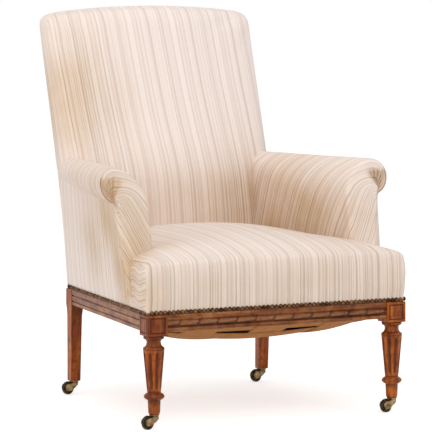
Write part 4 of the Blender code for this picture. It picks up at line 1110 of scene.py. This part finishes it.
def front_leg(side):
    """Turned leg under its square head, with dirt and painted shade in its hollows."""
    sign = SIDES[side]
    x = sign * FRONT_LEG_X
    profile = leg_profile()

    def place(i, j):
        angle = 2 * math.pi * i / LEG_TURNS
        z, radius = profile[j]
        if SHAFT[0] < z < SHAFT[1]:
            radius -= flute_depth(angle, z)
        return Vector((x + radius * math.cos(angle), radius * math.sin(angle), z))

    body = grid(LEG_TURNS, len(profile), place, ring=True)
    bmesh.ops.remove_doubles(body, verts=body.verts, dist=0.00001)
    join(body, leg_block(x, sign))
    leg = add_piece(f"turned_front_{side}_leg", body, WALNUT_UPRIGHT)
    leg.data.set_sharp_from_angle(angle=math.radians(38))

    def head_hollow(p):
        sunk = min(BLOCK / 2 - abs(p.x - x), BLOCK / 2 - abs(p.y))
        # Painted shade in the groove round the sunk panel
        if 0.0003 < sunk < 0.002 and p.z < COVER_LINE - 0.005:
            return 1.0
        margin = min(p.z - BLOCK_BOTTOM, COVER_LINE - p.z, BLOCK / 2 - abs(p.x - x))
        frame_shade, field_shade = HEAD_SHADE[side]
        return field_shade if margin > 0.011 else frame_shade

    def hollow(p):
        if p.z > BLOCK_BOTTOM:
            return head_hollow(p)
        if p.z > NECK_BOTTOM:
            # Painted shade under the block, with dirt, darkest at the top of the neck
            shade = lerp(*NECK_SHADE[side], share(p.z, NECK_BOTTOM, BLOCK_BOTTOM))
        elif SHAFT[0] < p.z < SHAFT[1]:
            # Painted shade in the flutes, darkest along their middle
            shade = flute_depth(math.atan2(p.y, p.x - x), p.z) / FLUTE_DEPTH
        elif p.z > RING_BOTTOM:
            shade = RING_SHADE[side]
        else:
            shade = FOOT_SHADE[side]
        return max(quirk(p.z), shade)

    store(leg, "hollow", hollow)
    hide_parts(f"front_{side}_leg")


# Front rail with its carved ribbon

RIBBON_PITCH = 0.0486
RIBBON_RISE = 0.0026
ROD_HEIGHT = 0.2457
ROD_DEPTH = 0.0032
ROD_RADIUS = 0.0052
BAND_TOP = 0.2522
RABBET = 0.0055
RAIL_COLUMNS = 420


def ribbon(x, angle):
    """Ribbon wound round a rod in long turns: how far a place is on a turn, and on the ridge along it."""
    turn = (x / RIBBON_PITCH + angle / 900) % 1.0
    raised = ease(turn, 0.0, 0.07) * (1 - ease(turn, 0.84, 0.95))
    ridge = math.exp(-((angle - lerp(202, 162, turn)) / 20) ** 2)
    worn = 0.6 + 0.9 * noise.noise(Vector((x * 160, angle / 25, 0)))
    return raised, raised * ridge * max(0.0, worn)


def ribbon_rise(x, angle):
    raised, ridge = ribbon(x, angle)
    return RIBBON_RISE * (0.55 * raised + 0.45 * ridge)


def rail_profile():
    """Depth behind the face, height and, where the ribbon runs, angle round its rod."""
    upper = [(RAIL_THICK, RAIL_BOTTOM), (RAIL_THICK, RAIL_TOP), (RABBET, RAIL_TOP), (RABBET, COVER_LINE)]
    upper += [(0.0, COVER_LINE), (-0.0002, 0.2600), (0.0, 0.2560), (0.0008, BAND_TOP + 0.0016)]
    upper += [(0.0022, BAND_TOP)]
    lower = [(0.0022, RAIL_BOTTOM + 0.0098)]
    for step in range(9):
        turn = math.radians(lerp(100, 250, step / 8))
        lower.append((0.0030 + 0.0036 * math.cos(turn), RAIL_BOTTOM + 0.0048 + 0.0046 * math.sin(turn)))
    lower += [(0.0042, RAIL_BOTTOM)]
    rod = [(ROD_DEPTH, ROD_HEIGHT, lerp(112, 248, step / 12)) for step in range(13)]
    return [(*point, None) for point in upper] + rod + [(*point, None) for point in lower]


def front_rail():
    """Rail between the front legs: rabbet for the cover, carved band and bead."""
    reach = FRONT_LEG_X - BLOCK / 2 - COVER_GAP
    columns = RAIL_COLUMNS
    profile = rail_profile()

    def place(i, j):
        x = lerp(-reach, reach, i / (columns - 1))
        depth, z, angle = profile[j]
        y = FRONT_FACE_Y + depth
        if angle is not None:
            end = ease(reach - abs(x), 0.004, 0.012)
            radius = ROD_RADIUS + ribbon_rise(x, angle) * end
            y += radius * math.cos(math.radians(angle))
            z += radius * math.sin(math.radians(angle))
        return Vector((x, y, z))

    body = grid(columns, len(profile), place)
    body.verts.ensure_lookup_table()
    last = (len(profile) - 1) * columns
    for i in range(columns - 1):
        body.faces.new([body.verts[k] for k in (last + i, last + i + 1, i + 1, i)])
    bmesh.ops.holes_fill(body, edges=[edge for edge in body.edges if edge.is_boundary], sides=0)
    rail = add_piece("carved_front_rail", body, WALNUT_ACROSS)
    rail.data.set_sharp_from_angle(angle=math.radians(40))

    def carved(p):
        """Painted shade and dirt between the turns and along the foot of the band, and dust with a painted
        highlight on the ridges.
        """
        if abs(p.z - ROD_HEIGHT) > 0.0095 or p.y > FRONT_FACE_Y + 0.004:
            return 0.0, 0.0
        angle = math.degrees(math.atan2(p.z - ROD_HEIGHT, p.y - FRONT_FACE_Y - ROD_DEPTH)) % 360
        raised, ridge = ribbon(p.x, angle)
        return max(0.30, 0.85 * (1 - raised), ease(angle, 218, 240)), 0.62 * ridge

    store(rail, "hollow", lambda p: carved(p)[0])
    store(rail, "dust_and_highlight", lambda p: carved(p)[1])
    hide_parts("front_seat_rail")


# Nails

def nail_head(body, centre, along, outward):
    """A dome of rings that narrow to its top."""
    rings = []
    for step in range(4):
        turn = math.radians(step * 22.5)
        radius = NAIL_RADIUS * math.cos(turn)
        middle = centre + outward * (NAIL_PROUD * math.sin(turn))
        ring = []
        for k in range(NAIL_SIDES):
            angle = 2 * math.pi * k / NAIL_SIDES
            upward = Vector((0, 0, radius * math.sin(angle)))
            ring.append(body.verts.new(middle + along * radius * math.cos(angle) + upward))
        rings.append(ring)
    top = body.verts.new(centre + outward * NAIL_PROUD)
    neighbours = [(k, (k + 1) % NAIL_SIDES) for k in range(NAIL_SIDES)]
    for low, high in zip(rings, rings[1:]):
        for k, m in neighbours:
            body.faces.new((low[k], low[m], high[m], high[k]))
    for k, m in neighbours:
        body.faces.new((rings[-1][k], rings[-1][m], top))
    body.faces.new(rings[0])


def nail_row(name, node, start, end, outward):
    """Domed heads set by hand: close together, none quite alike."""
    body = bmesh.new()
    length = (end - start).length
    count = int(length / NAIL_PITCH)
    along = (end - start).normalized()
    for i in range(count):
        chance = noise.noise_vector(Vector((i * 7.31, start.x * 50, start.y * 50)))
        centre = start + along * (length * (i + 0.5) / count + chance.x * NAIL_STRAY[0])
        centre += Vector((0, 0, chance.y * NAIL_STRAY[1])) + outward * chance.z * NAIL_STRAY[2]
        nail_head(body, centre, along, outward)
    row = add_piece(name, body, NAIL_BRASS)
    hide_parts(node)


def nails():
    """Rows along the front rail and both side rails, just over the cover's lower edge."""
    noise.seed_set(NAIL_SEED)
    z = COVER_LINE - NAIL_LAP + NAIL_RADIUS
    front_y = FRONT_FACE_Y - 0.0006
    reach = rail_x(0) - NAIL_ROW_END
    nail_row("front_nails", "front_nail_row", Vector((-reach, front_y, z)), Vector((reach, front_y, z)),
             Vector((0, -1, 0)))
    low_y = FRONT_FACE_Y + 0.006
    high_y = POST_REAR_Y - NAIL_ROW_END
    for side, sign in SIDES.items():
        start = Vector((sign * (rail_x(low_y) + 0.0012), low_y, z))
        end = Vector((sign * (rail_x(high_y) + 0.0012), high_y, z))
        outward = Vector((sign * (end - start).y, abs((end - start).x), 0)).normalized()
        nail_row(f"{side}_nails", f"{side}_nail_row", start, end, outward)


# Webbing and hessian

def woven(over, crossings):
    """Height of a strap above the web's middle, as it passes over and under those that it crosses."""
    def height(t):
        wave = math.cos(math.pi * (crossings * share(t, 0.09, 0.91) - 0.5))
        return WEAVE_LIFT * over * wave * ease(min(t, 1 - t), 0.03, 0.12)

    return height


def strap(name, start, end, width_line, width, height, bow=STRAP_BOW):
    """One jute strap from rail to rail, sagging; those that run across narrow between the long ones."""
    columns, rows = 9, 61

    def place(i, j):
        t = j / (rows - 1)
        off = 2 * i / (columns - 1) - 1
        across = off * width / 2
        x = lerp(start[0], end[0], t)
        y = lerp(start[1], end[1], t)
        if width_line == "x":
            x += across
        else:
            between = 0.5 - 0.5 * math.cos(2 * math.pi * x / LONG_PITCH)
            y += across * (1 - STRAP_WAIST * between)
        hang = bow * (1 - off ** 2) * ease(min(t, 1 - t), 0.05, 0.15)
        return Vector((x, y, web_height(x, y) + height(t) - hang))

    piece = add_piece(name, grid(columns, rows, place), JUTE)
    flat_area = thicken(piece, STRAP_THICK if bow else FOLDED_THICK)
    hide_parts("seat_webbing")


def webbing():
    """Three straps from front to rear, five across them and a folded one behind the front rail."""
    front = WEB_FRONT - TACK_LAP
    rear = WEB_REAR + TACK_LAP
    for i in range(LONG_STRAPS):
        x = LONG_PITCH * (i - (LONG_STRAPS - 1) / 2)
        over = 1 if i % 2 else -1
        end = (x * STRAP_TAPER, rear)
        strap(f"long_strap_{i + 1}", (x, front), end, "x", LONG_WIDTH, woven(over, CROSS_STRAPS))
    for i in range(CROSS_STRAPS):
        y = (front + rear) / 2 + CROSS_SHIFT + CROSS_PITCH * (i - (CROSS_STRAPS - 1) / 2)
        half = rail_x(y) - RAIL_THICK + CROSS_LAP
        over = -1 if i % 2 else 1
        strap(f"cross_strap_{i + 1}", (-half, y), (half, y), "y", CROSS_WIDTH, woven(over, LONG_STRAPS))
    y = front + FOLDED_WIDTH / 2
    half = FRONT_LEG_X - BLOCK / 2 - 0.0005
    strap("folded_front_strap", (-half, y), (half, y), "y", FOLDED_WIDTH, lambda t: FOLDED_LIFT, bow=0.0)


def hessian():
    """Cloth stretched over the springs, pressed up a little by each coil."""
    low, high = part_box("spring_hessian")
    columns, rows = 41, 45

    def place(i, j):
        y = lerp(low.y, high.y, j / (rows - 1)) - FRONT_AXIS
        half = rail_x(y) - RAIL_THICK - HESSIAN_IN
        x = lerp(-half, half, i / (columns - 1))
        press = HESSIAN_PRESS * math.cos(2 * math.pi * x / SPRING_PITCH[0])
        press *= math.cos(2 * math.pi * (y - SPRING_START_Y) / SPRING_PITCH[1])
        return Vector((x, y, (low.z + high.z) / 2 + press))

    cloth = add_piece("hessian_over_springs", grid(columns, rows, place), HESSIAN)
    area = thicken(cloth, HESSIAN_THICK)
    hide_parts("spring_hessian")


# Parts that keep their own mesh

WOOD_WEAR = 0.0012
BRASS_WEAR = 0.0004


def dress_frame():
    """Gives every plain part its material and worn edges."""
    special = {"left_seat_rail": WALNUT_DEEP, "right_seat_rail": WALNUT_DEEP, "rear_left_post": WALNUT_SHADED_UNDER_SEAT}
    plain = {"walnut": WALNUT_UPRIGHT, "beech": BEECH, "brass": BRASS, "striped_fabric": CLOTH,
             "hessian": HESSIAN, "jute_webbing": JUTE, "spring_steel": STEEL}
    for name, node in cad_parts.items():
        slot = node.data.materials[0].name.split(".")[0]
        material = special.get(name, plain[slot])
        if name.endswith("caster_wheel"):
            material = WHEEL_BRASS
        node.data.materials.clear()
        node.data.materials.append(material)
        if slot in ("walnut", "beech"):
            bevel(node, WOOD_WEAR)
        elif slot == "brass" and "nail" not in name:
            bevel(node, BRASS_WEAR)


# Caster horns

CORNERS = [f"{end}_{side}" for end in ("front", "rear") for side in SIDES]
CHEEK_INNER = 0.0061
CHEEK_OUTER = 0.0087
CHEEK_END = (0.0255, 0.0184)
CHEEK_ROUND = 0.0092
CHEEK_TOP = 0.0300
HORN_END = -0.0066


def cheek_outline():
    """Side view of a cheek, out from the pintle and up from the floor: a broad bar with a round end."""
    out, up = CHEEK_END
    outline = [(0.0010, 0.0174), (HORN_END, 0.0230), (HORN_END, CHEEK_TOP), (0.0050, CHEEK_TOP)]
    outline.append((0.0100, 0.0276))
    for step in range(13):
        turn = math.radians(90 - 15 * step)
        outline.append((out + CHEEK_ROUND * math.cos(turn), up + CHEEK_ROUND * math.sin(turn)))
    return outline + [(0.0150, up - CHEEK_ROUND)]


def caster_horn(corner):
    """The plain horn with a broad cheek laid on each side of its fork."""
    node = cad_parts[f"{corner}_caster_horn"]
    pintle = sum(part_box(f"{corner}_caster_plate"), Vector()) / 2
    trail = sum(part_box(f"{corner}_caster_wheel"), Vector()) / 2 - pintle
    trail.z = 0
    trail.normalize()
    aside = Vector((-trail.y, trail.x, 0))
    origin = Vector((pintle.x, pintle.y - FRONT_AXIS, 0))
    outline = cheek_outline()
    body = bmesh.new()
    body.from_mesh(node.data)
    body.transform(Matrix.Translation((0, -FRONT_AXIS, 0)) @ node.matrix_world)
    for side in (-1, 1):
        rings = []
        for off in (CHEEK_INNER, CHEEK_OUTER):
            line = origin + aside * side * off
            rings.append([body.verts.new(line + trail * out + Vector((0, 0, up))) for out, up in outline])
            body.faces.new(rings[-1])
        for i in range(len(outline)):
            k = (i + 1) % len(outline)
            body.faces.new((rings[0][i], rings[0][k], rings[1][k], rings[1][i]))
    horn = add_piece(f"{corner}_broad_horn", body, BRASS, f"{corner}_horn")
    bevel(horn, 0.0005)
    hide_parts(f"{corner}_caster_horn")


# Studio

FLOOR_REACH = 14.0
FLOOR_GLOW = 0.54
AMBIENT = 0.57


def looking(tree):
    """1 for what the camera sees, directly, mirrored or through glass."""
    path = tree.nodes.new("ShaderNodeLightPath")
    total = path.outputs["Is Camera Ray"]
    for kind in ("Is Glossy Ray", "Is Transmission Ray"):
        most = tree.nodes.new("ShaderNodeMath")
        most.operation = "MAXIMUM"
        tree.links.new(total, most.inputs[0])
        tree.links.new(path.outputs[kind], most.inputs[1])
        total = most.outputs[0]
    return total


def show_apart(tree, shader, seen, output):
    """Ends a node tree with one shader for the light that bounces and another for what is seen."""
    choose = tree.nodes.new("ShaderNodeMixShader")
    tree.links.new(looking(tree), choose.inputs[0])
    tree.links.new(shader.outputs[0], choose.inputs[1])
    tree.links.new(seen.outputs[0], choose.inputs[2])
    tree.links.new(choose.outputs[0], tree.nodes[output].inputs["Surface"])


def studio():
    """White floor and surroundings, lit softly from the front left, the left and above, and a little
    from the right.
    """
    scene = bpy.context.scene
    floor_mesh = bpy.data.meshes.new("floor")
    corners = [(FLOOR_REACH * x, FLOOR_REACH * y, 0) for x, y in ((-1, -1), (1, -1), (1, 1), (-1, 1))]
    floor_mesh.from_pydata(corners, [], [(0, 1, 2, 3)])
    floor = bpy.data.objects.new("floor", floor_mesh)
    show(floor)
    nodes = Nodes("white_floor")
    nodes.set(Roughness=0.9, Base_Color=white(0.82))
    glow = nodes.add("ShaderNodeEmission")
    nodes.set(glow, Color=white(1.0), Strength=FLOOR_GLOW)
    lit = nodes.add("ShaderNodeAddShader")
    nodes.link(nodes.shader.outputs[0], lit.inputs[0])
    nodes.link(glow.outputs[0], lit.inputs[1])
    show_apart(nodes.tree, nodes.shader, lit, "Material Output")
    floor_mesh.materials.append(nodes.material)

    world = bpy.data.worlds.new("studio")
    world.use_nodes = True
    tree = world.node_tree
    ambient = tree.nodes["Background"]
    ambient.inputs["Color"].default_value = (1.0, 0.985, 0.965, 1.0)
    ambient.inputs["Strength"].default_value = AMBIENT
    backdrop = tree.nodes.new("ShaderNodeBackground")
    backdrop.inputs["Color"].default_value = white(1.0)
    show_apart(tree, ambient, backdrop, "World Output")
    scene.world = world

    soft_light("key", (-1.2, -3.4, 3.0), (0, 0.1, 0.5), 2.4, 48)
    soft_light("side", (-3.4, -0.4, 1.2), (0, 0.1, 0.45), 2.2, 30)
    soft_light("top", (0.3, -0.4, 3.4), (0, 0, 0.4), 2.2, 20)
    soft_light("fill", (1.6, -3.2, 0.8), (0.2, 0, 0.3), 1.4, 8)

    scene.view_settings.view_transform = "Standard"


def soft_light(name, position, aim, size, power):
    light = bpy.data.lights.new(name, "AREA")
    light.shape = "SQUARE"
    light.size = size
    light.energy = power
    lamp = bpy.data.objects.new(name, light)
    lamp.location = position
    lamp.rotation_euler = (Vector(aim) - Vector(position)).to_track_quat("-Z", "Y").to_euler()
    show(lamp)


def camera():
    """The photograph's view: 24 degrees round to the left, a little above the seat, long lens."""
    turn = math.radians(24.4)
    rise = math.radians(4.82)
    roll = math.radians(-0.32)
    distance = 7.5
    pixels_per_metre = 410
    picture = 432
    target = Vector((0, 0.31 + FRONT_AXIS, 0.45))
    forward = Vector((math.sin(turn) * math.cos(rise), math.cos(turn) * math.cos(rise), -math.sin(rise)))
    right = Vector((math.cos(turn), -math.sin(turn), 0))
    up = right.cross(forward)
    leaned_right = right * math.cos(roll) + up * math.sin(roll)
    leaned_up = up * math.cos(roll) - right * math.sin(roll)
    data = bpy.data.cameras.new("photo_camera")
    data.sensor_width = 36
    data.lens = 36 * pixels_per_metre * distance / picture
    data.shift_x = -3.7 / picture
    data.shift_y = 4.1 / picture
    data.clip_end = 60
    eye = bpy.data.objects.new("photo_camera", data)
    axes = Matrix((leaned_right, leaned_up, -forward)).transposed().to_4x4()
    eye.matrix_world = Matrix.Translation(target - forward * distance) @ axes
    show(eye)
    bpy.context.scene.camera = eye


dress_frame()
seat_cover()
back_cover()
outside_back()
for arm_side in SIDES:
    arm_cover(arm_side)
    outside_arm(arm_side)
    front_leg(arm_side)
front_rail()
nails()
webbing()
hessian()
for caster_corner in CORNERS:
    caster_horn(caster_corner)
studio()
camera()
